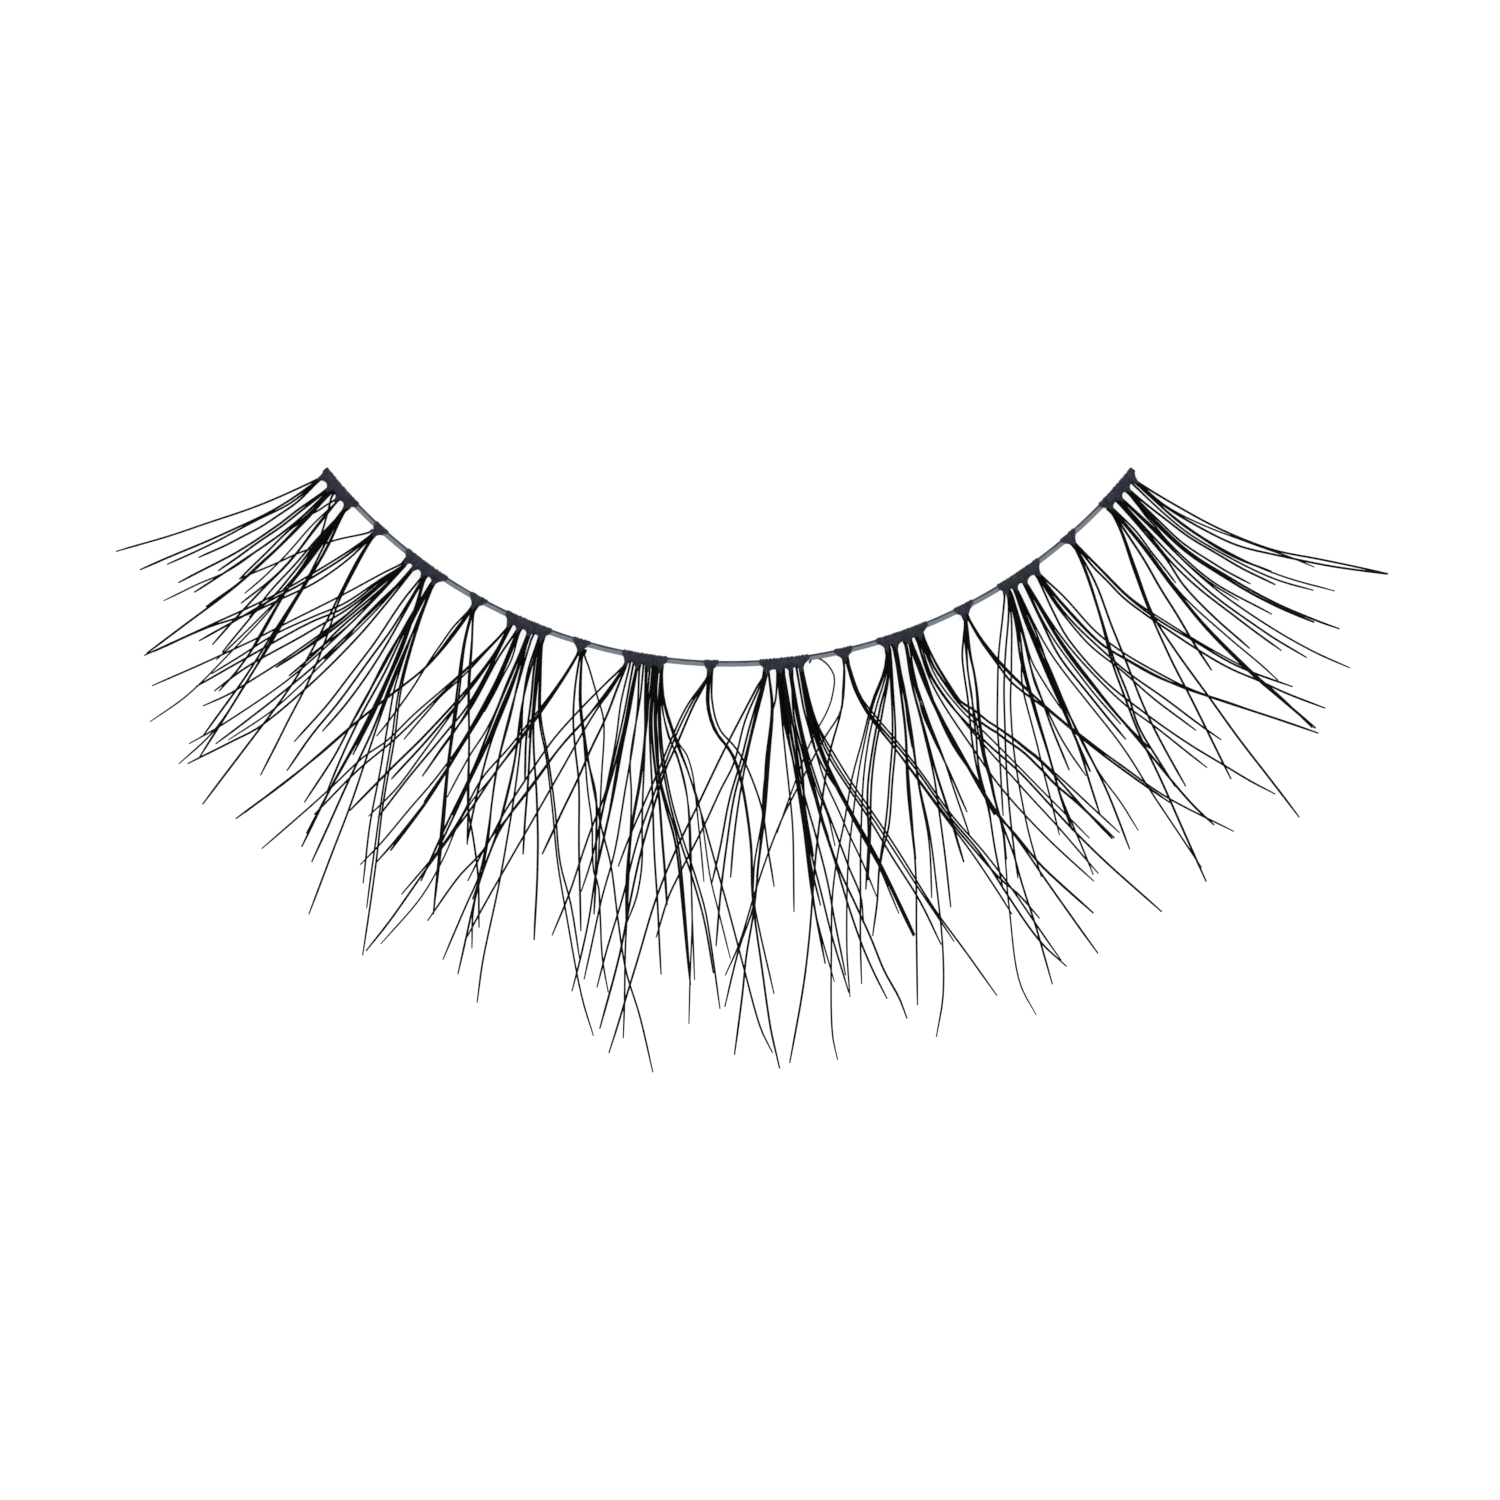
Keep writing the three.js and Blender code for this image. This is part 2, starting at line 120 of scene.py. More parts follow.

# Places along the band are thousandths of its length, 0 at its left end and 1000 at its right
# end. Reaches beyond the band's centre line are thousandths of LASH_REACH. Each lash is its girth
# as a share of HAIR_DIAMETER, then the points it passes, from where it leaves its knot to its tip.
# dip is how far the lashes sink towards the surface before they curl up: 1 touches it, and with
# less than 0 they rise at once.
CLUSTERS = [
    {"from": -1, "to": 52.5, "lobes": [3.5, 18.5, 32, 44.5], "dip": 1, "lashes": [
        (1.0, (3, 25), (-10, 150), (-32, 345), (-51, 527)),
        (1.1, (4, 30), (1, 120), (-7, 235), (-20, 382), (-29, 504)),
        (1.1, (5, 30), (4, 115), (-3, 200), (-10, 310), (-20, 444)),
        (1.1, (5, 30), (7.5, 105), (6, 160), (0, 265), (-9, 373)),
        (1.2, (17, 30), (14, 110), (13, 176), (7, 300), (-3, 449)),
        (1.1, (18, 30), (17, 110), (15, 190), (10, 356)),
        (1.3, (20, 30), (22, 110), (21, 170), (17, 290), (11, 434)),
        (0.6, (20, 30), (22, 120), (20, 210), (15, 340), (7, 425), (1, 504)),
        (1.2, (22, 30), (24, 110), (24, 190), (27, 330)),
        (1.2, (23, 30), (26, 110), (29, 250), (29, 340), (26, 435)),
        (1.2, (23, 30), (27, 120), (30, 270), (28, 410), (23, 617)),
        (0.6, (31, 28), (29, 60), (26, 95), (24, 150)),
        (1.1, (34, 30), (38, 100), (44, 190), (46, 270), (43, 367)),
        (1.1, (34, 30), (39, 100), (45, 200), (47, 290), (49, 400), (51.5, 486)),
        (0.6, (34, 30), (35, 110), (39, 225), (40, 280), (39, 344)),
        (1.0, (26, 28), (36, 62), (44, 95), (51, 135), (57, 200)),
        (0.9, (46, 30), (48, 120), (51, 220), (54, 320), (57, 375), (61, 482)),
        (1.3, (46, 30), (50, 130), (55, 220), (58, 290), (56, 375)),
        (0.6, (46, 30), (53, 115), (58, 200), (60, 280)),
        (1.2, (46, 30), (57, 120), (67, 200), (75, 290), (82, 395), (88, 505), (93.5, 660)),
        (1.2, (47, 30), (60, 115), (69, 200), (79, 320), (90, 478), (96, 590), (101.5, 705)),
        (0.7, (47, 30), (61, 130), (73, 250), (84, 400), (93, 530), (97, 640), (94, 750)),
        (1.1, (46, 30), (52, 130), (60, 240), (66, 300), (74, 390), (79, 485), (80, 555)),
        (0.6, (47, 30), (55, 150), (62, 270), (63, 350), (62, 505)),
        (0.6, (47, 30), (57, 150), (62, 260), (64.5, 360), (66, 500), (65, 620), (60, 724)),
        (1.3, (45, 30), (49, 90), (54, 160), (61, 250), (68, 330), (76, 425)),
    ]},
    {"from": 123.5, "to": 178, "lobes": [131.5, 142, 154, 167.5], "dip": 0.5, "lashes": [
        (0.8, (129, 28), (120, 75), (105, 168), (85, 300), (70, 425), (43, 660)),
        (1.0, (131, 30), (122, 90), (110, 190), (95, 270), (82, 360), (74, 450), (67, 537)),
        (1.0, (131, 30), (123, 90), (112, 200), (98, 280), (86, 370), (76, 470), (65.5, 585)),
        (1.1, (131, 30), (124, 100), (114, 210), (102, 300), (90, 400), (82, 480), (77.5, 562)),
        (1.0, (131, 30), (125, 110), (117, 220), (106, 340), (92, 490), (87, 545), (79, 607)),
        (1.6, (131, 30), (126, 100), (119, 190), (111, 310), (100.5, 420)),
        (1.2, (132, 30), (128, 115), (121, 200), (113, 300), (101, 412)),
        (1.3, (132, 30), (128, 140), (121, 240), (118, 330), (113, 415)),
        (0.6, (133, 30), (129, 140), (124, 260), (117, 380), (109, 490), (98, 615), (90, 697)),
        (0.8, (132, 30), (130, 120), (127, 200), (121, 280), (115, 350)),
        (1.0, (140, 30), (136, 130), (131, 230), (124, 350), (116, 480), (110, 565), (104, 655)),
        (1.2, (142, 30), (141, 120), (138, 240), (131, 400), (121, 550), (111, 630), (98.5, 735)),
        (0.6, (141, 30), (137, 150), (130, 300), (124, 430), (119, 520), (109, 628)),
        (1.0, (141, 30), (137, 100), (132, 180), (131, 260), (127, 330)),
        (1.1, (154, 30), (152.5, 100), (153.5, 250), (152, 400), (148, 533)),
        (1.3, (156, 30), (158, 105), (159.5, 200), (158, 390), (156, 500), (156.3, 600)),
        (1.1, (157, 30), (161, 140), (165, 270), (164, 380), (161, 473)),
        (1.4, (157, 30), (165, 85), (172, 150), (180, 260), (187, 400), (190, 560)),
        (1.3, (158, 30), (167, 90), (174, 155), (182, 260), (188, 380), (191, 480)),
        (1.6, (166, 30), (168, 130), (171, 240), (175, 350), (177, 423)),
        (1.2, (166, 30), (168, 140), (173, 280), (177, 430), (179.5, 520), (179.5, 640)),
        (1.2, (167, 30), (170, 140), (177, 290), (182, 450), (189, 585)),
        (1.4, (167, 30), (172, 140), (181, 280), (187, 420), (190, 580), (194.5, 734)),
        (1.1, (167, 30), (173, 150), (182, 290), (188, 430), (190, 560), (192.5, 700)),
        (1.1, (168, 30), (176, 125), (186, 280), (194, 410), (200, 575), (205.6, 753)),
        (0.9, (168, 30), (175, 110), (184, 230), (192, 345), (201, 460), (210, 610), (221, 866)),
        (0.8, (169, 30), (180, 140), (196, 280), (213, 396), (230, 547), (245, 684), (263, 897)),
        (0.9, (169, 30), (179, 140), (195, 285), (211, 400), (228, 545), (243, 690), (252.5, 790)),
        (0.8, (169, 30), (177, 140), (190, 280), (201, 360), (213, 458), (228, 602), (243, 740)),
    ]},
    {"from": 251, "to": 304, "lobes": [259, 270, 282, 297], "dip": 1, "lashes": [
        (0.7, (259, 30), (250, 95), (235, 195), (217, 320), (208, 410), (199, 470), (189, 590),
         (172.5, 790)),
        (1.1, (259, 30), (250, 97), (237, 187), (227, 272), (213, 396), (200, 512), (190, 652)),
        (0.6, (259, 30), (250, 105), (237, 205), (229, 265), (220, 386)),
        (1.4, (260, 30), (258, 100), (247, 224), (234, 354), (222, 464), (210.5, 600)),
        (1.2, (260, 30), (258, 110), (249, 230), (240, 330), (226.3, 485)),
        (1.2, (261, 30), (259, 150), (255, 258), (250, 313), (241, 416), (231, 581)),
        (0.8, (261, 30), (258, 120), (248, 240), (239, 400), (233, 500), (224.5, 590)),
        (1.2, (262, 30), (260, 150), (257, 270), (247, 445)),
        (1.0, (269, 30), (263, 110), (260, 235), (252, 345), (248, 430)),
        (1.8, (271, 30), (271, 170), (266, 320), (259, 485), (250, 640)),
        (1.4, (272, 30), (273, 160), (268, 300), (263, 390), (257, 500)),
        (0.7, (270, 30), (270, 170), (265, 325), (257, 437), (250, 520), (242, 629), (235.4, 703)),
        (1.1, (272, 30), (272, 170), (267, 320), (259, 480), (251, 600), (244.5, 682)),
        (0.6, (273, 30), (276, 105), (274, 170), (272, 240)),
        (0.7, (281, 30), (281, 150), (280, 280), (275, 355), (271.8, 466)),
        (1.4, (282, 30), (282, 200), (282, 400), (279.5, 554), (278.5, 677)),
        (1.3, (283, 30), (286, 170), (285.5, 320), (283, 450), (281, 600)),
        (1.5, (282, 30), (285, 120), (285, 240), (284, 330), (281, 500)),
        (1.1, (284, 30), (287, 170), (288, 300), (292, 416), (299, 545)),
        (1.0, (287, 30), (290, 110), (295, 245), (301, 361), (310, 485), (315.5, 610), (314, 690),
         (311.4, 835)),
        (1.0, (294, 30), (296, 115), (307, 245), (314.5, 354), (317.5, 480), (318, 650), (323.5, 857)),
        (0.9, (295, 30), (302, 190), (313, 340), (318, 500), (317, 600), (320, 700), (327, 787)),
        (1.3, (297, 30), (305, 115), (315, 215), (324, 306), (333, 415), (342, 534)),
        (1.3, (298, 30), (307, 115), (317, 215), (328, 304), (340, 396), (351, 500), (365.7, 727)),
        (0.9, (299, 30), (308, 105), (321, 208), (337, 290), (355, 410), (370, 540), (389, 698), (405, 842),
         (415.7, 926)),
        (0.9, (299, 30), (309, 105), (322, 203), (338, 285), (357, 408), (371, 530), (385, 622),
         (399, 752)),
        (1.2, (283, 30), (288, 100), (291, 150), (295, 220), (299, 328), (306.5, 437), (313, 520),
         (317, 605)),
        (1.0, (296, 28), (300, 165), (310, 255), (317.5, 343), (324.5, 452), (331, 605), (336, 800),
         (340.5, 908)),
        (1.7, (297, 30), (302, 70), (308, 125), (315, 205), (318, 260)),
        (1.4, (295, 30), (298, 70), (304, 130), (311, 205), (318, 285), (326, 360)),
    ]},
    {"from": 384, "to": 433.5, "lobes": [390, 402, 415, 426.5], "dip": 0.5, "lashes": [
        (0.8, (390, 25), (375, 78), (358, 148), (340, 240), (330, 320), (319, 444), (313, 550), (302, 636),
         (293, 760)),
        (1.4, (390, 27), (378, 95), (363, 176), (347, 258), (332, 375), (320, 490), (317.5, 580),
         (317, 674)),
        (1.0, (391, 27), (379, 95), (364, 172), (348, 254), (333, 370), (321, 470), (314.5, 525),
         (309.3, 636)),
        (0.8, (390, 27), (381, 92), (372, 142), (363, 213), (352, 330), (343, 435), (334, 550), (326, 677),
         (321.6, 765)),
        (1.3, (391, 27), (387, 80), (381, 165), (373, 265), (365.5, 370), (356, 521)),
        (0.9, (394.5, 25), (393, 110), (394.5, 200), (395, 350), (394, 500), (390.8, 588)),
        (0.9, (398, 28), (397.5, 170), (395, 327), (388.5, 437), (383, 588), (377, 706)),
        (1.0, (402, 28), (401, 110), (400.5, 250), (400.5, 400), (399, 520), (400, 640), (399, 750),
         (397.6, 828)),
        (1.6, (402.5, 28), (402.5, 150), (401.5, 300), (400.5, 420), (399, 530)),
        (1.5, (402, 28), (400.5, 110), (399.5, 230), (396, 330), (395, 420), (394.5, 480)),
        (0.9, (405, 28), (410, 130), (411, 300), (410, 480), (406.5, 605), (404, 795)),
        (0.7, (409, 28), (411, 110), (411, 250), (416, 330), (420, 420), (422, 500), (426, 600)),
        (1.6, (412, 28), (416, 105), (421, 190), (422, 300), (420.5, 400), (422, 520), (426.5, 643)),
        (0.7, (413, 28), (417, 105), (421.5, 190), (422.5, 300), (421.5, 420), (424, 540), (428, 690),
         (432, 823), (434.3, 921)),
        (0.8, (416, 28), (419, 130), (422, 215), (425.5, 310), (429, 400), (432.5, 500), (431.5, 580),
         (427, 645)),
        (1.6, (422, 28), (425, 145), (433, 255), (441, 345), (447, 440), (454.5, 591)),
        (1.1, (421, 28), (423, 140), (429, 240), (437, 382), (444, 519), (450, 650), (454.4, 760)),
        (1.3, (424, 28), (428, 150), (438, 280), (447, 355), (457, 440), (465, 574), (474.4, 780)),
        (1.0, (424, 28), (429, 150), (439, 280), (448, 350), (458, 430), (466, 560), (473, 735)),
        (1.4, (419, 26), (419.5, 70), (420.5, 140), (421.5, 200)),
        (1.4, (424.5, 26), (426, 75), (428.5, 130), (433, 200), (437, 262)),
        (0.6, (428, 28), (434, 115), (444, 190), (452, 222), (463, 313), (469, 450), (473, 600), (474, 760),
         (474.6, 874)),
        (1.0, (428, 28), (431, 105), (439, 222), (451, 334), (464, 437), (475, 525), (484, 617),
         (494.2, 836)),
        (1.0, (428, 28), (430, 110), (437, 222), (449, 335), (462, 445), (473, 530), (482, 620),
         (489.5, 750)),
        (0.7, (429, 28), (433, 110), (443, 180), (455, 245), (465, 340), (470.5, 480), (473.5, 620),
         (477, 768)),
        (0.45, (429, 28), (434, 100), (448, 183), (463, 262), (474, 340), (480, 420), (486, 520),
         (493, 609), (501, 715)),
        (0.5, (429, 28), (435, 100), (452, 195), (461, 225), (468, 275), (473, 350), (481, 530)),
        (0.9, (429, 28), (435, 98), (449, 180), (463, 260), (477, 365), (490, 492), (501, 616), (511, 750),
         (520, 883), (526.8, 944)),
    ]},
    {"from": 533, "to": 587, "lobes": [540, 554.5, 565, 576.5], "dip": 1, "lashes": [
        (1.0, (538, 28), (531, 50), (511, 134), (497, 203), (476, 327), (458, 457), (445, 595), (437, 739),
         (430, 890), (426.6, 962)),
        (1.0, (539, 28), (530, 66), (515, 142), (504, 245), (493, 306), (480, 389), (461.6, 519),
         (455, 574), (448.8, 672)),
        (1.2, (539, 28), (527, 100), (513, 215), (502, 313), (491.7, 464), (487, 533)),
        (1.0, (540, 28), (529, 100), (515, 224), (505, 320), (497.5, 450), (494, 550), (491, 685)),
        (1.0, (540, 28), (530, 105), (516, 231), (509, 320), (503.4, 444), (501.2, 519)),
        (1.3, (542, 28), (543.5, 105), (537, 220), (530, 340), (523, 480), (518, 600), (512, 710),
         (509, 800), (503.4, 947)),
        (1.0, (542, 28), (543.5, 110), (538, 215), (531, 345), (524, 470), (518, 590), (507, 690),
         (497.3, 832)),
        (0.7, (542, 28), (542, 120), (533, 240), (529, 360), (520, 480), (518, 560)),
        (0.8, (551, 26), (547, 90), (543, 120), (538, 190), (531, 290), (527, 400), (521, 520)),
        (0.8, (551, 26), (551.5, 120), (552, 300), (551.5, 430), (547.3, 609)),
        (1.3, (553, 26), (554.5, 135), (558, 250), (560.5, 380), (562.5, 500), (562.5, 600), (565.4, 741)),
        (1.2, (555, 26), (557, 130), (561, 260), (562, 400), (563.5, 500), (567, 600)),
        (1.6, (555, 26), (556, 120), (560, 220), (562, 330), (563, 450), (563, 540)),
        (1.2, (554, 26), (552, 90), (554, 170), (559, 260), (560, 350)),
        (1.0, (558, 26), (562, 176), (564, 313), (570, 437), (574.5, 550), (576, 650), (578, 775)),
        (1.0, (556, 26), (559, 160), (562, 320), (564, 460), (569, 580), (573, 690), (578.5, 818)),
        (0.6, (554, 26), (556, 150), (560, 350), (561.5, 560), (564.5, 660), (570, 787)),
        (1.5, (557, 26), (559, 110), (563, 185), (565, 260), (564, 360), (566, 480)),
        (1.4, (565, 26), (568, 140), (572, 270), (577, 390), (584, 510), (592, 608), (599, 697), (604, 780),
         (610, 850), (612.3, 903)),
        (1.1, (564, 26), (566, 140), (571, 270), (576, 390), (582, 500), (586, 590), (592, 705), (597, 780),
         (602.3, 847)),
        (1.2, (567, 26), (564, 90), (564, 160), (568, 240), (574, 350), (580, 440)),
        (0.8, (566, 26), (570, 190), (577, 300), (585, 415), (592, 519), (597, 590), (596, 650)),
        (0.5, (575, 28), (577, 150), (582, 280), (592, 382), (597, 444), (603, 515), (608.5, 600)),
        (0.5, (566, 26), (570, 200), (576, 320), (582, 390), (584, 462)),
        (1.8, (577, 28), (579, 120), (585, 220), (590, 280), (601, 385), (612, 480), (618, 545), (625, 645),
         (629, 710)),
        (1.3, (576, 28), (577, 120), (583, 220), (589, 285), (600, 390), (611, 488), (617, 550), (624, 650),
         (628, 712)),
        (0.9, (575, 28), (577, 130), (584, 240), (592, 320), (602, 400), (611, 480), (621.7, 651)),
        (1.3, (572, 28), (573, 90), (577, 190), (583, 260), (592, 320)),
        (0.9, (578, 28), (584, 155), (594, 231), (606, 313), (617, 385), (633, 519), (648, 670), (660, 787),
         (670.5, 904)),
        (0.9, (578, 28), (583, 150), (592, 235), (604, 320), (615, 395), (630, 512), (642, 625),
         (653.9, 749)),
        (0.9, (578, 28), (582, 150), (590, 240), (602, 325), (613, 400), (626, 512), (638, 630),
         (644.9, 748)),
        (0.4, (586, 10), (592, 2), (600, 11), (607, 33), (609.5, 60), (603, 105), (595, 138), (580, 190),
         (566, 250), (552, 330), (539, 415)),
    ]},
    {"from": 661.5, "to": 720, "lobes": [670.5, 680, 694.5, 707.5], "dip": 0.5, "lashes": [
        (0.7, (669, 28), (660, 73), (641, 135), (624, 217), (608, 303), (594.5, 409), (585, 485),
         (576, 588), (571, 698), (566, 842), (564.7, 918), (566, 974)),
        (0.7, (670, 28), (660, 78), (642, 140), (626, 222), (612, 310), (600, 415), (593, 495), (586, 609),
         (581, 720), (578.8, 828)),
        (0.9, (670, 28), (661, 82), (645, 145), (629, 225), (616, 320), (606, 444), (597, 588), (592, 684),
         (587.6, 801)),
        (1.2, (671, 28), (662, 90), (646, 160), (630, 250), (618, 350), (610, 470), (601.6, 578)),
        (1.0, (671, 28), (663, 90), (648, 165), (633, 250), (621, 350), (612, 460), (604.5, 557)),
        (1.0, (672, 28), (664, 100), (650, 240), (638, 334), (626, 437), (614, 540), (608, 612),
         (600.4, 691)),
        (1.0, (673, 28), (666, 100), (652, 245), (641, 335), (629, 437), (619, 500), (612, 560)),
        (1.8, (677, 28), (672, 110), (665, 210), (655, 320), (648, 423), (642.8, 533)),
        (0.8, (677, 28), (671, 120), (664, 220), (655, 330), (648, 440), (640, 575), (630.5, 705),
         (620.5, 876)),
        (0.9, (678, 28), (675, 110), (668, 230), (661, 360), (657, 490), (647, 633)),
        (0.7, (678, 28), (675, 120), (669, 230), (662, 350), (659, 480), (652, 622), (645, 760),
         (637.5, 870), (627.5, 961)),
        (0.7, (680, 28), (675, 120), (670, 200), (664, 306)),
        (0.6, (679, 28), (673, 130), (668, 210), (665, 270)),
        (1.0, (690, 28), (683, 130), (680, 230), (676, 340), (671, 430), (665, 545), (658.2, 667)),
        (1.6, (690, 28), (684, 110), (681, 200), (679, 310), (678, 430), (676.9, 572)),
        (1.0, (691, 28), (686, 110), (685, 200), (688, 315), (691.7, 460)),
        (0.8, (691, 28), (687, 120), (688, 300), (688, 410), (687.5, 520)),
        (1.0, (694, 28), (690, 80), (686, 150), (684, 210), (687, 300)),
        (1.8, (694, 28), (696, 176), (704, 341), (711, 470), (720, 550), (728, 640), (735, 700),
         (747.4, 803)),
        (1.2, (695, 28), (697, 176), (705, 341), (712, 460), (721, 575), (727, 680), (735, 820),
         (739, 895)),
        (1.8, (694.5, 28), (695.5, 150), (700, 290), (708, 400), (711, 490)),
        (1.3, (697, 28), (698, 90), (697, 180), (700, 270), (706, 360), (711, 430)),
        (1.2, (704, 28), (702, 80), (704, 130), (712, 212), (728, 325), (743, 423), (760, 595), (771, 712),
         (786.9, 876)),
        (1.0, (703, 28), (701, 120), (705, 200), (715, 320), (725, 444), (740, 588), (757, 734)),
        (0.9, (706, 28), (704, 120), (714, 225), (727, 345), (739, 450), (752, 588), (762.2, 723)),
        (0.7, (707, 28), (708, 130), (718, 225), (731, 306), (743, 396), (755, 506), (768, 637)),
        (1.7, (709, 28), (709, 95), (711, 125), (714, 157), (718, 200), (723, 232), (728, 258),
         (731.2, 273), (736, 295), (739.7, 310), (743.9, 335), (746.9, 350), (750.6, 369), (754.4, 394),
         (757, 417), (760, 442), (763.3, 478), (772, 545), (783.6, 665)),
        (1.1, (710, 28), (711.8, 75), (713, 107), (716.3, 157), (720.3, 206), (724.9, 222), (728.3, 235),
         (731.2, 249), (736.3, 276), (741.4, 297), (744.7, 313), (749.2, 335), (752.3, 353), (756.1, 378),
         (760, 402), (764.6, 442), (774, 560), (782, 664)),
        (0.9, (711, 28), (712, 75), (713.5, 107), (716.9, 157), (720.8, 204), (725.4, 221), (728.8, 234),
         (731.8, 248), (736.8, 275), (742, 296), (745.2, 312), (749.8, 334), (752.9, 352), (756.7, 377),
         (760.6, 401), (765.2, 441), (770, 478), (782.5, 595), (788.6, 660)),
    ]},
    {"from": 805.5, "to": 859, "lobes": [810.5, 821.5, 833, 850.5], "dip": 1, "lashes": [
        (0.8, (808, 21), (794, 66), (771, 145), (752, 240), (741, 303), (729, 396), (717, 500)),
        (0.9, (810, 28), (801, 66), (780, 142), (760, 231), (744, 327), (733, 409), (720, 526),
         (709.8, 653)),
        (0.8, (810, 28), (801, 80), (778, 180), (760, 265), (743, 396), (731, 540), (725.5, 672)),
        (1.6, (811, 28), (802, 97), (788, 180), (778, 295), (770, 410), (762, 540), (759.7, 602)),
        (0.8, (811, 28), (796, 145), (780, 224), (770, 320), (764, 395), (756, 505), (749.7, 598)),
        (0.8, (812, 28), (803, 105), (789, 190), (779, 300), (771, 405), (764, 500), (760.3, 657),
         (758.7, 720)),
        (1.1, (813, 28), (803, 120), (794, 200), (787, 290), (781, 409), (778.8, 469)),
        (0.6, (813, 28), (800, 150), (789, 250), (786, 350), (786, 430), (788, 500)),
        (0.6, (815, 28), (801, 150), (797, 200), (796.5, 260), (798, 330)),
        (2.0, (819, 28), (811, 107), (804, 225), (798, 350), (792.5, 497)),
        (1.4, (820, 28), (812, 110), (805, 230), (799, 350), (793, 450), (788, 520), (783, 598)),
        (1.1, (820, 28), (813, 110), (806, 230), (801, 350), (798.5, 450), (796, 560), (789.1, 707)),
        (0.6, (820, 28), (814, 115), (808, 225), (802, 340), (798.5, 440), (798, 520), (800.5, 600),
         (800.9, 679)),
        (0.8, (822, 28), (817, 130), (816, 210), (820, 354), (824, 500), (823.3, 640), (823.5, 835)),
        (0.8, (821, 28), (815, 130), (808, 220), (804, 300), (799, 400)),
        (1.2, (831, 28), (825, 120), (821.4, 210), (823, 300), (829.2, 476)),
        (0.7, (832, 28), (827, 110), (825.5, 210), (828, 320), (832.7, 439)),
        (1.8, (833, 28), (829, 197), (832, 350), (836, 450), (840.4, 526)),
        (1.3, (833, 28), (830, 197), (833, 350), (837.5, 500), (840, 620), (842.5, 700), (846.3, 768)),
        (0.8, (834, 28), (832.5, 140), (835, 260), (844, 396), (853.5, 492), (866, 646)),
        (1.1, (847, 28), (840, 121), (837, 197), (842, 330), (853.5, 451), (866, 570), (877, 670),
         (884, 739), (890.9, 799)),
        (1.0, (848, 28), (846, 120), (849, 224), (858, 325), (867, 445), (876.5, 559)),
        (1.0, (849, 28), (848, 120), (852, 210), (860, 320), (871, 430), (882, 560), (886.5, 615)),
        (1.2, (850, 28), (851, 110), (858, 245), (867, 315), (878, 393), (891, 464), (905, 540), (922, 640),
         (939.4, 761)),
        (1.3, (850, 28), (852, 120), (859, 250), (869, 325), (880, 400), (893, 475), (907, 550),
         (922, 642)),
        (0.9, (851, 28), (857, 107), (862, 225), (869, 300), (881.6, 389), (892, 465), (906, 545)),
    ]},
    {"from": 947, "to": 1001, "lobes": [953.5, 968, 980.5, 992.5], "dip": 0.5, "lashes": [
        (1.3, (951, 28), (943, 80), (927, 162), (909, 275), (898, 378), (890, 480), (883, 570),
         (874.2, 703)),
        (1.3, (951, 28), (944, 80), (929, 160), (911, 275), (905, 375), (901, 480), (897, 620), (895, 740),
         (892.7, 878)),
        (1.6, (952, 28), (941, 149), (929, 279), (920, 396), (915.5, 473)),
        (1.8, (953, 28), (948, 140), (940, 265), (936, 390), (935.5, 540), (938, 640), (940.3, 747)),
        (0.9, (953, 28), (949, 140), (942, 260), (937, 390), (937, 540), (939, 640), (939, 742)),
        (0.7, (954, 28), (949, 150), (942, 270), (941, 340), (943, 440), (945.5, 540), (946, 602)),
        (0.8, (955, 28), (954, 100), (950, 170), (945, 260)),
        (1.4, (963, 28), (959, 120), (955, 200), (948, 279), (947, 380), (948.5, 499)),
        (1.3, (965, 28), (961, 120), (956, 210), (956, 320), (959.5, 440), (963.8, 559)),
        (1.0, (966, 28), (962.5, 130), (959.2, 250), (961, 382), (966, 505), (972.2, 615)),
        (1.0, (968, 28), (967, 130), (964.5, 260), (965.5, 370), (971, 490), (979, 620), (986.5, 710)),
        (0.8, (969, 28), (968.5, 130), (966.5, 230), (969, 341), (979.7, 483)),
        (0.6, (968, 28), (966, 150), (965, 300), (970.7, 401)),
        (0.6, (978, 28), (974, 70), (970, 135), (967.5, 185)),
        (1.6, (978, 28), (973, 120), (972.5, 240), (978, 350), (987, 480), (995.6, 574)),
        (1.2, (979, 28), (975, 120), (974, 240), (980, 350), (989, 480), (997, 570), (1003.2, 631)),
        (1.0, (980, 28), (977, 120), (976.5, 210), (981, 310), (987.3, 396)),
        (1.4, (981, 28), (982, 130), (985, 224), (992, 345), (999.4, 444)),
        (0.8, (988, 28), (986, 125), (987, 220), (995, 345), (1004, 444), (1014.2, 525)),
        (1.2, (991, 28), (989, 130), (990.5, 230), (997, 334), (1005.8, 416)),
        (0.8, (991, 28), (989.5, 130), (992, 240), (999, 350), (1009, 450), (1023.3, 567)),
        (1.1, (992, 28), (991.5, 110), (996, 200), (1005, 305), (1017, 390), (1034, 505), (1054.9, 648)),
        (1.2, (993, 28), (999, 128), (1007.5, 258), (1020, 380), (1035.6, 487), (1055.5, 649)),
        (0.5, (992.5, 28), (993, 120), (1002, 231), (1014, 335), (1024, 430), (1028.9, 493)),
    ]},
]

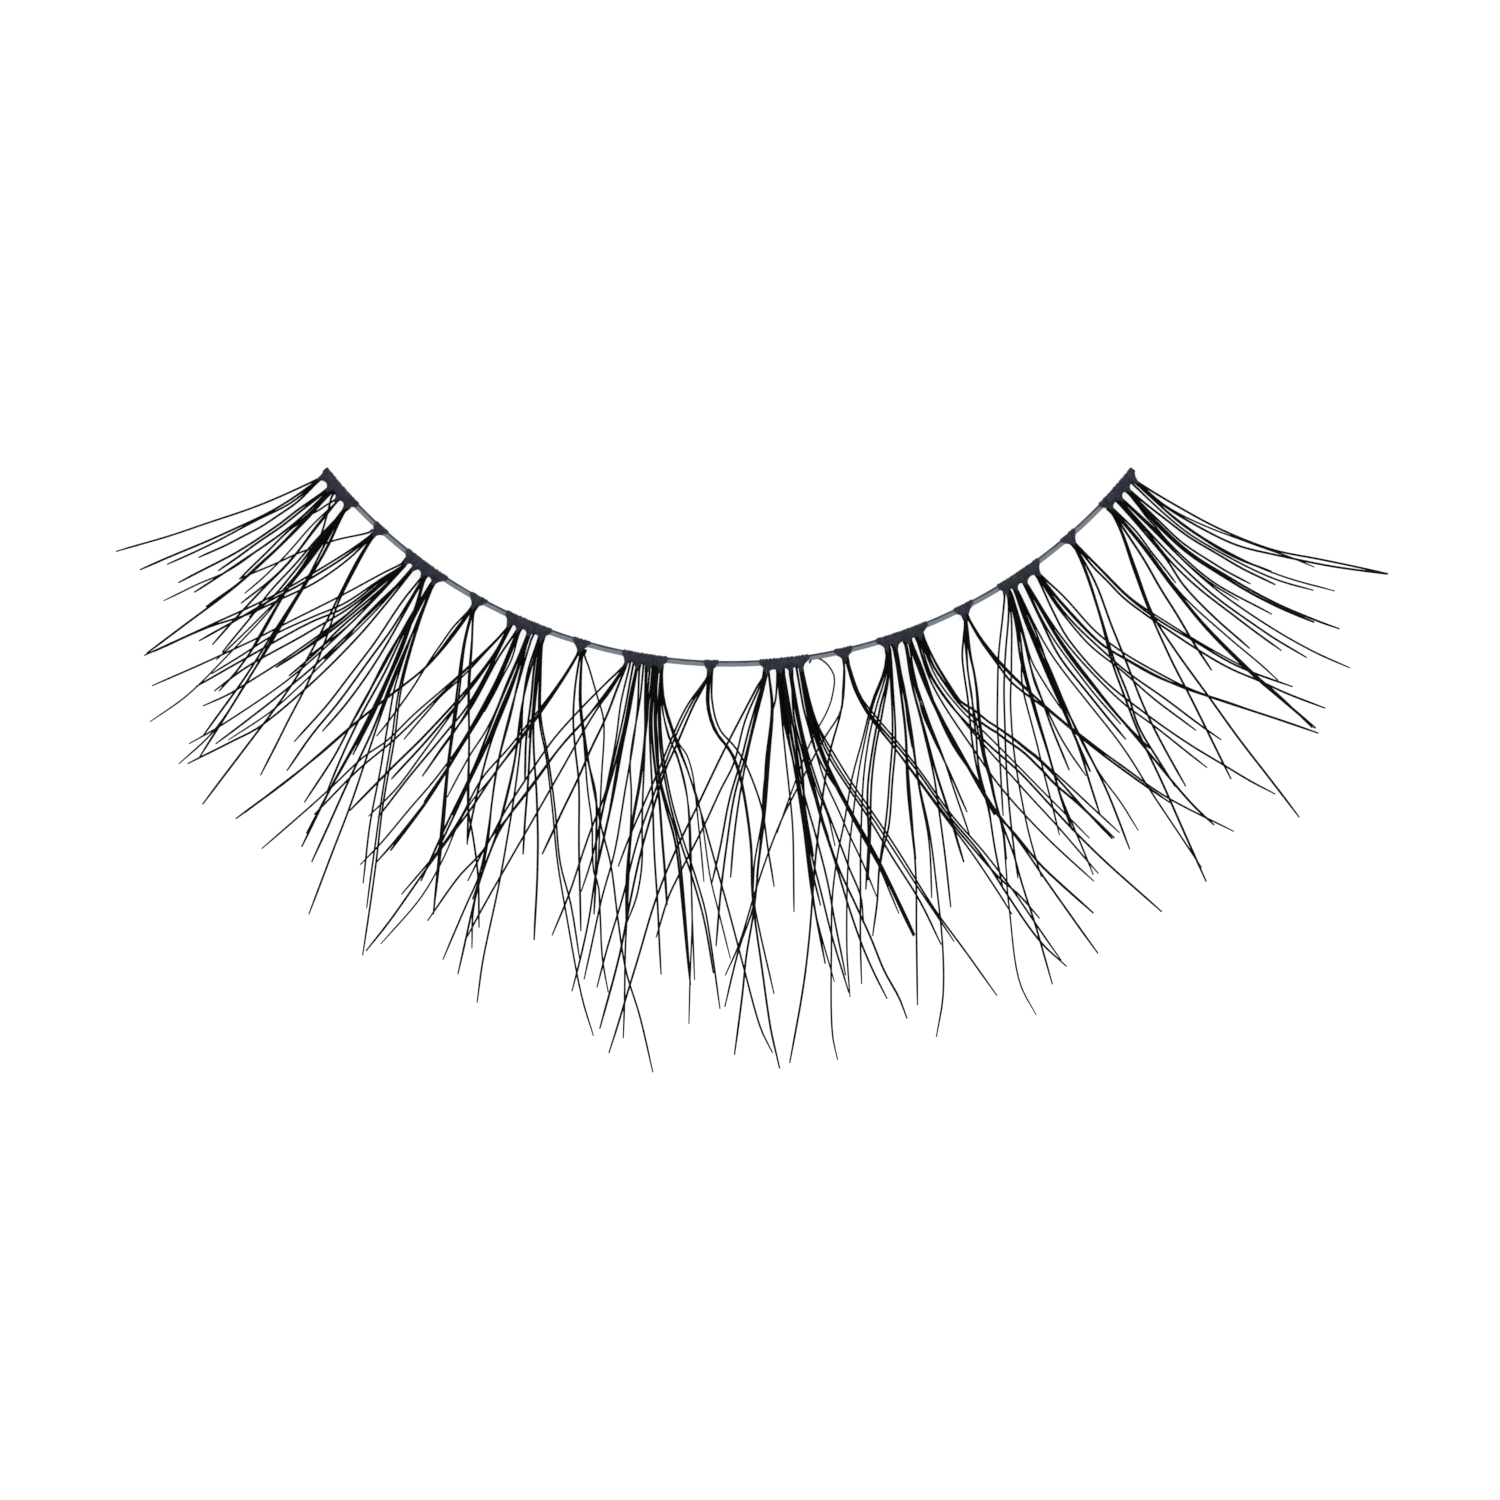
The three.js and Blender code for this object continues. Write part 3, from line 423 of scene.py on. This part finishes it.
TUFTS = [
    {"from": 78, "to": 96.5, "lobes": [85.7], "dip": -0.1, "lashes": [
        (0.8, (81, 25), (60, 102), (50, 155), (40, 225), (27, 330)),
        (1.1, (84, 33), (76, 121), (65, 228), (54, 327), (41, 444), (29, 562), (23.5, 624)),
        (1.1, (85, 33), (79, 121), (69, 215), (60, 300), (52, 385), (42.5, 502)),
        (1.0, (86, 33), (84, 110), (76, 203), (66, 280), (55, 365), (40, 460), (26, 600)),
        (1.0, (88, 33), (94, 100), (104, 195), (116, 280), (129, 405), (136, 520), (143, 646)),
        (1.0, (87, 33), (92, 100), (101, 190), (108, 260), (116, 355), (120, 440), (122, 600), (124, 786)),
    ]},
    {"from": 207, "to": 228, "lobes": [217.2], "dip": -0.5, "lashes": [
        (1.3, (216, 33), (212, 100), (206, 200), (192, 305), (179, 415), (161, 616), (147.4, 765)),
        (1.0, (217, 33), (214, 100), (210, 160), (205, 215), (192, 310), (180, 405), (168, 540),
         (150, 740)),
        (0.9, (215, 33), (209, 90), (207, 140), (205, 250), (202, 360), (199.5, 411)),
        (1.0, (220, 33), (233, 100), (250, 205), (269, 313), (285, 423), (300, 553)),
        (0.9, (220, 33), (234, 105), (252, 210), (270, 320), (290, 465), (302, 530), (316, 622),
         (327.5, 733)),
        (1.3, (218, 33), (227, 115), (243, 231), (262, 396), (277, 533), (295.3, 739)),
        (1.0, (219, 33), (228, 115), (244, 225), (263, 392), (278, 530), (294, 722)),
    ]},
    {"from": 328.5, "to": 348, "lobes": [339.5], "dip": -0.1, "lashes": [
        (0.9, (338, 30), (331, 92), (319, 183), (305, 293), (292, 389), (288, 500), (282, 588), (270, 725)),
        (1.0, (338.5, 30), (332, 95), (321, 190), (310, 285), (301, 365), (293, 465), (287, 535),
         (280, 630), (270, 794), (264, 883)),
        (0.6, (338, 30), (332, 90), (320, 190), (309, 280), (299, 380), (291, 455), (288, 530),
         (287.5, 600), (283, 712), (270.7, 854)),
        (1.1, (341, 30), (345, 107), (352, 185), (361, 255), (370, 327), (380, 450), (390, 588),
         (396, 681)),
        (1.3, (343, 30), (354, 142), (364, 210), (375, 280), (387, 354), (395, 464), (400, 560),
         (403, 636)),
        (0.9, (343, 30), (355, 142), (366, 215), (380, 310), (396, 423), (409, 512), (421, 643), (431, 760),
         (443, 863), (454.4, 995)),
        (0.8, (343, 30), (353, 140), (363, 205), (371.5, 272), (380, 347), (388.5, 422), (393, 486),
         (397.5, 537), (402.5, 564), (407, 626), (413.5, 734), (421, 816)),
        (0.7, (345, 26), (353, 52), (368, 113), (380, 172), (388, 293), (394, 400), (398, 480), (400, 540)),
    ]},
    {"from": 472.5, "to": 489, "lobes": [479], "dip": -0.5, "lashes": [
        (1.0, (478, 30), (459, 103), (445.5, 192), (433, 310), (422, 415), (414.9, 512)),
        (0.9, (478, 30), (461.5, 105), (447.5, 198), (434, 350), (426, 460), (421, 600), (416, 715),
         (413.3, 808)),
        (1.2, (478.5, 32), (464.5, 105), (451, 203), (443, 265), (437, 350), (431, 470), (427.5, 600),
         (425, 725), (419.1, 905)),
        (1.2, (478, 33), (478, 100), (486, 162), (502, 217), (511, 290), (517, 440), (517.5, 560),
         (522, 725), (526, 876), (530.6, 981)),
        (0.9, (480, 33), (480, 105), (488, 165), (503, 217), (512, 290), (517.5, 430), (518, 560),
         (522, 650), (529.6, 802)),
        (0.9, (482, 30), (483, 90), (491, 158), (506, 205), (518, 262), (527, 345), (531, 450), (534, 544)),
    ]},
    {"from": 614, "to": 635, "lobes": [624.5], "dip": -0.1, "lashes": [
        (0.9, (622, 33), (615, 95), (609, 143), (590, 197), (575, 247), (558, 315), (545, 375), (531, 464),
         (519, 560), (507, 680), (497.5, 755)),
        (1.1, (622, 33), (616, 95), (607, 155), (594, 225), (580, 335), (570, 450), (563, 560), (556, 677),
         (548, 808), (536.9, 970)),
        (1.0, (622, 33), (617, 85), (611, 135)),
        (1.3, (626, 32), (629, 110), (637, 168), (650, 240), (662, 320), (677, 451), (690, 560), (699, 690),
         (708, 815), (717.5, 893)),
        (1.0, (627, 32), (631, 115), (640, 168), (652, 235), (664, 318), (679, 450), (693, 560), (702, 660),
         (710, 780), (715.9, 875)),
        (1.0, (625, 32), (627, 100), (635, 170), (648, 245), (660, 328), (675, 455), (688, 560), (698, 640),
         (706, 690), (713.2, 762)),
        (0.8, (625.5, 32), (628, 105), (636, 170), (649, 250), (660, 335), (672, 440), (685, 560),
         (693, 665), (696.8, 729)),
    ]},
    {"from": 751.5, "to": 775, "lobes": [760], "dip": -0.5, "lashes": [
        (1.1, (757.5, 30), (748.5, 66), (740, 103), (734, 148), (728, 202), (721.5, 255), (716.5, 305),
         (710.7, 392), (708, 470), (702.3, 560), (697, 665)),
        (1.0, (758, 30), (749.5, 70), (743.8, 108), (737.8, 150), (732.2, 200), (726, 250), (721.3, 300),
         (715.2, 350), (711.8, 391), (708.5, 470), (703.3, 540)),
        (1.3, (758.5, 30), (752, 72), (746.6, 113), (743.4, 150), (737.8, 200), (731, 250), (725.5, 300),
         (721, 350), (719, 400), (716, 450), (714, 503), (711.8, 542), (709.7, 565), (707, 600)),
        (1.0, (759, 32), (753, 72), (747.4, 113), (744, 150), (738.6, 200), (731.8, 250), (726.3, 300),
         (721.6, 350), (719.5, 400), (716.4, 450), (714.3, 503), (713.5, 568), (713, 600), (711, 655),
         (709.9, 705), (709, 770), (705.1, 920)),
        (0.6, (758.5, 31), (750.5, 73), (743.2, 114), (737.2, 152), (731.6, 202), (727.5, 250),
         (723.8, 300), (720.3, 350), (718.5, 400), (715.6, 450), (713.5, 503), (711, 545), (708.5, 572),
         (704.2, 619), (701.7, 648), (700, 664), (695, 735), (688, 842), (686.4, 904), (689.3, 976)),
        (1.2, (762, 30), (763, 90), (767, 160), (770.5, 210), (776.5, 250), (786, 308), (801, 423),
         (815, 540), (829.9, 662)),
        (1.0, (762.5, 30), (765, 95), (773, 185), (788, 310), (803, 425), (817, 540), (830, 646),
         (853.8, 806)),
        (1.0, (761.5, 30), (764, 92), (771.5, 180), (787, 308), (802, 424), (816, 530), (826, 615)),
    ]},
    {"from": 890, "to": 910, "lobes": [899], "dip": -0.1, "lashes": [
        (1.3, (897, 33), (888, 100), (872, 203), (857, 300), (848, 390), (840.6, 478), (834, 600),
         (827, 730), (820.8, 868)),
        (1.1, (897, 33), (889, 100), (873, 203), (859, 300), (851, 390), (843, 470), (840.5, 560),
         (839.4, 637)),
        (1.1, (898, 33), (889, 135), (876, 235), (866, 325), (856, 435), (850, 530), (845.7, 651)),
        (1.1, (900, 33), (902, 100), (903, 153), (904.5, 200), (908.5, 262), (914.5, 330), (920.5, 388),
         (929, 480), (937, 545), (949.7, 637)),
        (1.1, (899.5, 33), (898.5, 95), (900, 143), (901.3, 200), (906, 267), (909.5, 310), (917.5, 400),
         (927, 500), (936, 572), (943, 635), (954.5, 730)),
        (0.8, (901, 33), (903.5, 140), (905.5, 200), (910, 260), (916, 325), (922, 385), (930, 470),
         (935, 520)),
    ]},
]

# The band's own CAD solid says where the arc's centre and the band's centre line are.
band_low, band_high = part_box("band")
ARC_CENTRE = Vector((
    (band_low[0] + band_high[0]) / 2,
    band_low[1] + BAND_RADIUS + BAND_WIDTH / 2,
    0,
))
BAND_HEIGHT = (band_low[2] + band_high[2]) / 2


def angle_at(place):
    return (place - 0.5) * BAND_LENGTH / BAND_RADIUS


def strip_point(place, reach, height=0.0):
    """A point beside the band: its place along it, its reach beyond it and its height."""
    angle = angle_at(place)
    radius = BAND_RADIUS + reach
    return ARC_CENTRE + Vector((radius * math.sin(angle), -radius * math.cos(angle), height))


def lerp(a, b, share):
    return a + (b - a) * share


def add_object(name, data):
    made = bpy.data.objects.new(name, data)
    bpy.context.scene.collection.objects.link(made)
    return made


class Shape:
    """Vertices and faces gathered for one piece, with a fibre coordinate at each vertex."""

    def __init__(self):
        self.vertices = []
        self.faces = []
        self.fibre = []

    def ring_tube(self, rings, fibre_numbers):
        """A tube through rings of equally many points, with its ends closed."""
        sides = len(rings[0])
        first = len(self.vertices)
        for step, ring in enumerate(rings):
            self.vertices.extend(ring)
            along = step / (len(rings) - 1)
            self.fibre.extend((along, number) for number in fibre_numbers)
        for step in range(len(rings) - 1):
            for side in range(sides):
                a = first + step * sides + side
                b = first + step * sides + (side + 1) % sides
                self.faces.append((a, b, b + sides, a + sides))
        last = first + (len(rings) - 1) * sides
        self.faces.append(tuple(range(first + sides - 1, first - 1, -1)))
        self.faces.append(tuple(range(last, last + sides)))

    def tube(self, points, radii, sides, fibre_number):
        """A round tube along points, with a radius at each."""
        rings = []
        normal = None
        for i, point in enumerate(points):
            ahead = points[min(i + 1, len(points) - 1)]
            behind = points[max(i - 1, 0)]
            tangent = (ahead - behind).normalized()
            if normal is None:
                normal = tangent.cross(UP if abs(tangent.z) < STEEP else SIDEWAYS)
            normal = (normal - tangent * normal.dot(tangent)).normalized()
            across = tangent.cross(normal)
            rings.append([
                point + (normal * math.cos(turn) + across * math.sin(turn)) * radii[i]
                for turn in (math.tau * side / sides for side in range(sides))
            ])
        self.ring_tube(rings, [fibre_number] * sides)

    def piece(self, name, material):
        mesh = bpy.data.meshes.new(name)
        mesh.from_pydata(self.vertices, [], self.faces)
        mesh.update()
        layer = mesh.uv_layers.new(name="fibre")
        for loop in mesh.loops:
            layer.data[loop.index].uv = self.fibre[loop.vertex_index]
        mesh.polygons.foreach_set("use_smooth", [True] * len(mesh.polygons))
        mesh.materials.append(material)
        return add_object(name, mesh)


def squarish(wave):
    """A sine or cosine, bent so that an oval section becomes squarer."""
    return math.copysign(abs(wave) ** BAND_SQUARENESS, wave)


def band_shape():
    """The filament, a rounded rod along the whole arc with blunt ends."""
    turns = [math.tau * side / BAND_SIDES for side in range(BAND_SIDES)]
    outs = [squarish(math.cos(turn)) for turn in turns]
    rises = [squarish(math.sin(turn)) for turn in turns]
    rings = []
    for step in range(BAND_STEPS + 1):
        place = step / BAND_STEPS
        from_end = min(place, 1 - place) * BAND_LENGTH
        blunt = math.sqrt(min(1.0, BAND_END_GIRTH + from_end / BAND_WIDTH))
        rings.append([
            strip_point(
                place,
                out * blunt * BAND_WIDTH / 2,
                BAND_HEIGHT + rise * blunt * BAND_THICKNESS / 2,
            )
            for out, rise in zip(outs, rises)
        ])
    shape = Shape()
    # Across the section the numbers run from 0 on the hollow side to 1 on the outer side; the filament
    # material paints its shade line from them.
    shape.ring_tube(rings, [(out + 1) / 2 for out in outs])
    return shape


def knot_reach(knot, place):
    """(reach of the outer edge, size of the section) of a row of knots at a place."""
    lobes = [lobe * THOUSANDTH for lobe in knot["lobes"]]
    marks = [(knot["from"] * THOUSANDTH, KNOT_END_REACH, KNOT_END_SHARE)]
    for i, lobe in enumerate(lobes):
        if i:
            marks.append(((lobes[i - 1] + lobe) / 2, KNOT_VALLEY_REACH, KNOT_VALLEY_SHARE))
        marks.append((lobe, KNOT_POINT_REACH, 1.0))
    marks.append((knot["to"] * THOUSANDTH, KNOT_END_REACH, KNOT_END_SHARE))
    for (a, reach_a, size_a), (b, reach_b, size_b) in zip(marks, marks[1:]):
        if place <= b:
            share = max(0.0, min(1.0, (place - a) / (b - a)))
            bend = share * share if reach_b > reach_a else 1 - (1 - share) ** 2
            size = lerp(size_a, size_b, math.sin(share * math.pi / 2))
            return lerp(reach_a, reach_b, bend), size
    return KNOT_END_REACH, KNOT_END_SHARE


def knot_surface(knot, height, place, turn, girth):
    """A point on the knots' surface: turn 0 is the outer side and half a turn the hollow side."""
    reach, size = knot_reach(knot, place)
    across = (math.cos(turn) + 1) / 2
    half = height * size / 2 * (1 - POINT_FLATNESS * across * across)
    middle = (reach - KNOT_BACK_REACH) / 2
    out = middle + (lerp(-KNOT_BACK_REACH, reach, across) - middle) * girth
    return strip_point(place, out, BAND_HEIGHT + math.sin(turn) * half * girth)


def add_core(shape, knot, height, start, end):
    """The glue-filled body of a row of knots."""
    length = (end - start) * BAND_LENGTH
    steps = round(length / KNOT_STEP)
    rings = []
    for step in range(steps + 1):
        place = lerp(start, end, step / steps)
        from_end = min(step, steps - step) * length / steps
        blunt = math.sqrt(min(1.0, KNOT_END_GIRTH + from_end / KNOT_BLUNT_LENGTH))
        centre = strip_point(place, 0.0, BAND_HEIGHT)
        ring = []
        for side in range(KNOT_SIDES):
            turn = math.tau * side / KNOT_SIDES
            point = knot_surface(knot, height, place, turn, KNOT_CORE_GIRTH * blunt)
            lump = noise.noise(point * GLUE_GRAIN) * GLUE_LUMP
            ring.append(point + (point - centre).normalized() * lump)
        rings.append(ring)
    shape.ring_tube(rings, [0.0] * KNOT_SIDES)


def knot_shape(knot, height, rng):
    """A row of knots: a glue-filled core, and the fibre loops that grip the band."""
    shape = Shape()
    start, end = (knot[key] * THOUSANDTH for key in ("from", "to"))
    add_core(shape, knot, height, start, end)
    lobes = [lobe * THOUSANDTH for lobe in knot["lobes"]]
    for i, lobe in enumerate(lobes):
        left = (lobes[i - 1] + lobe) / 2 if i else start
        right = (lobes[i + 1] + lobe) / 2 if i + 1 < len(lobes) else end
        for number in range(LOOPS_PER_LOBE):
            share = (number + 0.5) / LOOPS_PER_LOBE
            wide = lerp(left, right, lerp(LOOP_MARGIN, 1 - LOOP_MARGIN, share))
            wide += rng.uniform(-LOOP_SHIFT, LOOP_SHIFT)
            slant = rng.uniform(-LOOP_SLANT, LOOP_SLANT)
            girth = rng.uniform(*LOOP_GIRTHS)
            points = []
            for step in range(LOOP_STEPS + 1):
                turn = math.tau * step / LOOP_STEPS
                spread = math.sin(turn / 2) ** LOOP_GATHER
                place = lerp(lobe, wide, spread) + slant * math.sin(turn)
                points.append(knot_surface(knot, height, place, turn, girth))
            radius = LOOP_RADIUS * rng.uniform(*LOOP_RADIUS_SHARES)
            shape.tube(points, [radius] * len(points), LOOP_SIDES, i + share)
    return shape


def curl_lift(reach, dip):
    """The strip is curled as a whole, so a lash's height follows its reach beyond its root."""
    drop = CLUSTER_KNOT_HEIGHT / 2 - (LAYER_RISE + ROOT_STACK + HAIR_DIAMETER) / 2
    fall = dip * math.sqrt(2 * drop / CURL_RADIUS)
    return -fall * reach + reach * reach / (2 * CURL_RADIUS)


def reach_of(point):
    return (point - ARC_CENTRE).to_2d().length


def curve_through(marks, steps):
    """Evenly spread points of a smooth curve through marks."""
    lengths = [0.0]
    for a, b in zip(marks, marks[1:]):
        lengths.append(lengths[-1] + (b - a).length)
    slopes = []
    for i in range(len(marks)):
        before = max(i - 1, 0)
        after = min(i + 1, len(marks) - 1)
        slopes.append((marks[after] - marks[before]) / (lengths[after] - lengths[before]))
    points = []
    section = 0
    for step in range(steps + 1):
        at = lengths[-1] * step / steps
        while section < len(marks) - 2 and at > lengths[section + 1]:
            section += 1
        span = lengths[section + 1] - lengths[section]
        t = (at - lengths[section]) / span
        points.append(
            marks[section] * (1 + 2 * t) * (1 - t) ** 2
            + slopes[section] * span * t * (1 - t) ** 2
            + marks[section + 1] * t * t * (3 - 2 * t)
            - slopes[section + 1] * span * t * t * (1 - t)
        )
    return points


def lash_path(passed, layer, dip, rng):
    """The points of one lash, from inside its knot to its tip, lifted by the curl."""
    marks = [
        strip_point(place * THOUSANDTH, reach * THOUSANDTH * LASH_REACH)
        for place, reach in passed
    ]
    root_place = passed[0][0] * THOUSANDTH + rng.uniform(-0.5, 0.5) * ROOT_SPREAD / BAND_LENGTH
    marks.insert(0, strip_point(root_place, ROOT_REACH))
    height = BAND_HEIGHT + ROOT_STACK * rng.uniform(-0.5, 0.5) + LAYER_RISE * (layer - 0.5)
    dip_here = dip - LAYER_DIP * layer + rng.uniform(-DIP_CHANGE, 0.0)
    start = reach_of(marks[0])
    side = (marks[-1] - marks[0]).cross(UP).normalized()
    phase = rng.uniform(0, math.tau)
    waves = rng.uniform(*WAVES)
    points = []
    for step, point in enumerate(curve_through(marks, HAIR_STEPS)):
        t = step / HAIR_STEPS
        wave = math.sin(phase + waves * math.tau * t) * math.sin(math.pi * t)
        point = point + side * WAVE_HEIGHT * wave
        lift = curl_lift(max(0.0, reach_of(point) - start), dip_here)
        points.append(point + UP * (height + lift))
    return points


def taper(t):
    return lerp(TIP_GIRTH, 1.0, min(1.0, (1 - t) / TAPER_SHARE))


def lash_shape(knot, rng):
    """All the lashes of a row of knots."""
    shape = Shape()
    for number, (girth, *passed) in enumerate(knot["lashes"]):
        points = lash_path(passed, number % LAYERS, knot["dip"], rng)
        change = rng.uniform(1 - GIRTH_CHANGE, 1 + GIRTH_CHANGE)
        radius = HAIR_DIAMETER / 2 * lerp(1.0, girth, GIRTH_SPREAD) * change
        radii = []
        run = 0.0
        for step, point in enumerate(points):
            run += (point - points[max(step - 1, 0)]).length
            swell = 1 + GLUE_SWELL * math.exp(-run / GLUE_LENGTH)
            radii.append(radius * swell * taper(step / HAIR_STEPS))
        shape.tube(points, radii, HAIR_SIDES, number / LASHES_PER_UNIT)
    return shape


# Materials.

class Look:
    """A material made of nodes, with what its surface detail is made from."""

    def __init__(self, name):
        self.material = bpy.data.materials.new(name)
        self.material.use_nodes = True
        self.nodes = self.material.node_tree.nodes

    def fill(self, node, inputs):
        """Links each input to another node's output, or sets it to a plain value."""
        for socket, source in inputs.items():
            if isinstance(source, bpy.types.NodeSocket):
                self.material.node_tree.links.new(source, node.inputs[socket])
            else:
                node.inputs[socket].default_value = source

    def add(self, kind, inputs):
        made = self.nodes.new("ShaderNode" + kind)
        self.fill(made, inputs)
        return made

    def shade(self, inputs):
        """The material itself, once its shader has these inputs."""
        self.fill(self.nodes["Principled BSDF"], inputs)
        return self.material

    def fibre_coordinates(self):
        """The coordinate along each fibre, and its number across the fibres."""
        made = self.add("UVMap", {})
        made.uv_map = "fibre"
        return made.outputs["UV"]

    def grain(self, scale, detail, place=None, stretch=(1, 1, 1)):
        """A noise over the piece, in its own metres unless other coordinates are given."""
        if place is None:
            place = self.add("TexCoord", {}).outputs["Object"]
        vector = self.add("Mapping", {"Vector": place, "Scale": stretch}).outputs["Vector"]
        made = self.add("TexNoise", {"Vector": vector, "Scale": scale, "Detail": detail})
        return made.outputs["Fac"]

    def ramp(self, source, low, high, start=NOISE_LOW, end=NOISE_HIGH):
        made = self.add("ValToRGB", {"Fac": source})
        stops = ((start, low), (end, high))
        for element, (position, colour) in zip(made.color_ramp.elements, stops):
            element.position = position
            element.color = (*colour, 1)
        return made.outputs["Color"]

    def spread(self, source, low, high):
        made = self.add("MapRange", {
            "Value": source, "From Min": NOISE_LOW, "From Max": NOISE_HIGH, "To Min": low, "To Max": high,
        })
        return made.outputs["Result"]

    def bump(self, source, distance, strength):
        made = self.add("Bump", {"Height": source, "Distance": distance, "Strength": strength})
        return made.outputs["Normal"]


def fibre_material():
    """Black polyester fibre: fine streaks along it, and slight changes from lash to lash."""
    look = Look("lash_fibre")
    streaks = look.grain(3.0, detail=3.0, place=look.fibre_coordinates(), stretch=(14, 7, 1))
    fine = look.grain(42000.0, detail=2.0)
    return look.shade({
        "Base Color": look.ramp(streaks, low=(0.001, 0.001, 0.0012), high=(0.003, 0.0029, 0.0031)),
        "Roughness": look.spread(streaks, low=0.4, high=0.6),
        "Specular IOR Level": 0.015,
        "Normal": look.bump(fine, distance=0.004 * MM, strength=0.5),
    })


def knot_material():
    """Dark fibre under a thin coat of dried glue: blue-black, with glossy and dull patches."""
    look = Look("knot_glue")
    patches = look.grain(5200.0, detail=4.0)
    fine = look.grain(15000.0, detail=5.0)
    return look.shade({
        "Base Color": look.ramp(patches, low=(0.009, 0.0108, 0.016), high=(0.02, 0.0232, 0.034)),
        "Roughness": look.spread(patches, low=0.42, high=0.24),
        "Specular IOR Level": 0.06,
        "Coat Weight": 0.03,
        "Coat Roughness": 0.18,
        "Normal": look.bump(fine, distance=0.012 * MM, strength=0.6),
    })


def filament_material():
    """Smoke-grey filament, a little cloudy, with painted shade: a darker line along its hollow side."""
    look = Look("band_filament")
    cloud = look.grain(2600.0, detail=4.0)
    fine = look.grain(12000.0, detail=3.0)
    across = look.add("SeparateXYZ", {"Vector": look.fibre_coordinates()}).outputs["Y"]
    shade_line_place = look.add("Math", {0: cloud, 1: SHADE_LINE_BLUR, 2: across})
    shade_line_place.operation = "MULTIPLY_ADD"
    # The ramp's low end is painted shade, a dark line along the filament's hollow side; its high end is the
    # filament's own smoke grey.
    colour = look.ramp(
        shade_line_place.outputs["Value"],
        low=(0.018, 0.022, 0.028), high=(0.11, 0.128, 0.146), start=0.42, end=0.6,
    )
    return look.shade({
        "Base Color": colour,
        "Roughness": look.spread(cloud, low=0.16, high=0.3),
        "Transmission Weight": 0.04,
        "IOR": 1.5,
        "Specular IOR Level": 0.08,
        "Normal": look.bump(fine, distance=0.004 * MM, strength=0.4),
    })


def floor_material():
    """A pale surface with a glow of its own, so that it is just white under soft light."""
    look = Look("pale_floor")
    soft = look.grain(60.0, detail=3.0)
    return look.shade({
        "Base Color": look.ramp(soft, low=(0.095, 0.095, 0.095), high=(0.105, 0.105, 0.105)),
        "Roughness": 0.9,
        "Specular IOR Level": 0.1,
        "Emission Color": (1.0, 1.0, 1.0, 1),
        "Emission Strength": 0.88,
    })


FIBRE = fibre_material()
KNOT = knot_material()
FILAMENT = filament_material()


def stand_for(piece, node):
    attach(piece, "root")
    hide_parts(node)


stand_for(band_shape().piece("band_filament", FILAMENT), "band")
for kind, rows, height in (
    ("cluster", CLUSTERS, CLUSTER_KNOT_HEIGHT),
    ("tuft", TUFTS, TUFT_KNOT_HEIGHT),
):
    for number, knot in enumerate(rows, 1):
        node = f"hair_{kind}_{number}"
        rng = random.Random(node)
        knots = knot_shape(knot, height, rng).piece(f"knots_{kind}_{number}", KNOT)
        stand_for(knots, node)
        lashes = lash_shape(knot, rng).piece(f"lashes_{kind}_{number}", FIBRE)
        stand_for(lashes, node)


# The surface, the light and the camera.

def make_floor():
    side = 1.5
    mesh = bpy.data.meshes.new("floor")
    corners = [(-side, -side, 0), (side, -side, 0), (side, side, 0), (-side, side, 0)]
    mesh.from_pydata(corners, [], [(0, 1, 2, 3)])
    mesh.materials.append(floor_material())
    add_object("floor", mesh)


def add_light(name, place, size, watts):
    """A round soft light, turned towards the strip."""
    light = bpy.data.lights.new(name, "AREA")
    light.shape = "DISK"
    light.size = size
    light.energy = watts
    made = add_object(name, light)
    made.location = place
    made.rotation_euler = (-Vector(place)).to_track_quat("-Z", "Y").to_euler()


def make_light():
    add_light("key_light", place=(-0.7, 0.6, 0.8), size=0.9, watts=9.0)
    add_light("fill_light", place=(0.75, 0.35, 0.8), size=1.0, watts=6.0)
    add_light("low_light", place=(0.1, -0.9, 0.6), size=1.0, watts=4.0)
    world = bpy.data.worlds.new("studio")
    world.use_nodes = True
    background = world.node_tree.nodes["Background"]
    background.inputs["Color"].default_value = (1.0, 1.0, 1.0, 1)
    background.inputs["Strength"].default_value = 1.1
    bpy.context.scene.world = world


def make_camera():
    """Straight above the strip, square to the surface."""
    view_width = 51 * MM
    middle_right = 0.714 * MM
    middle_down = 20.53 * MM
    distance = 1.0
    camera = bpy.data.cameras.new("camera")
    camera.sensor_width = 36
    camera.lens = camera.sensor_width * distance / view_width
    camera.clip_start = 0.01
    camera.clip_end = 20
    made = add_object("camera", camera)
    made.location = ARC_CENTRE + Vector((middle_right, -middle_down, distance))
    bpy.context.scene.camera = made


make_floor()
make_light()
make_camera()
bpy.context.scene.view_settings.view_transform = "Standard"
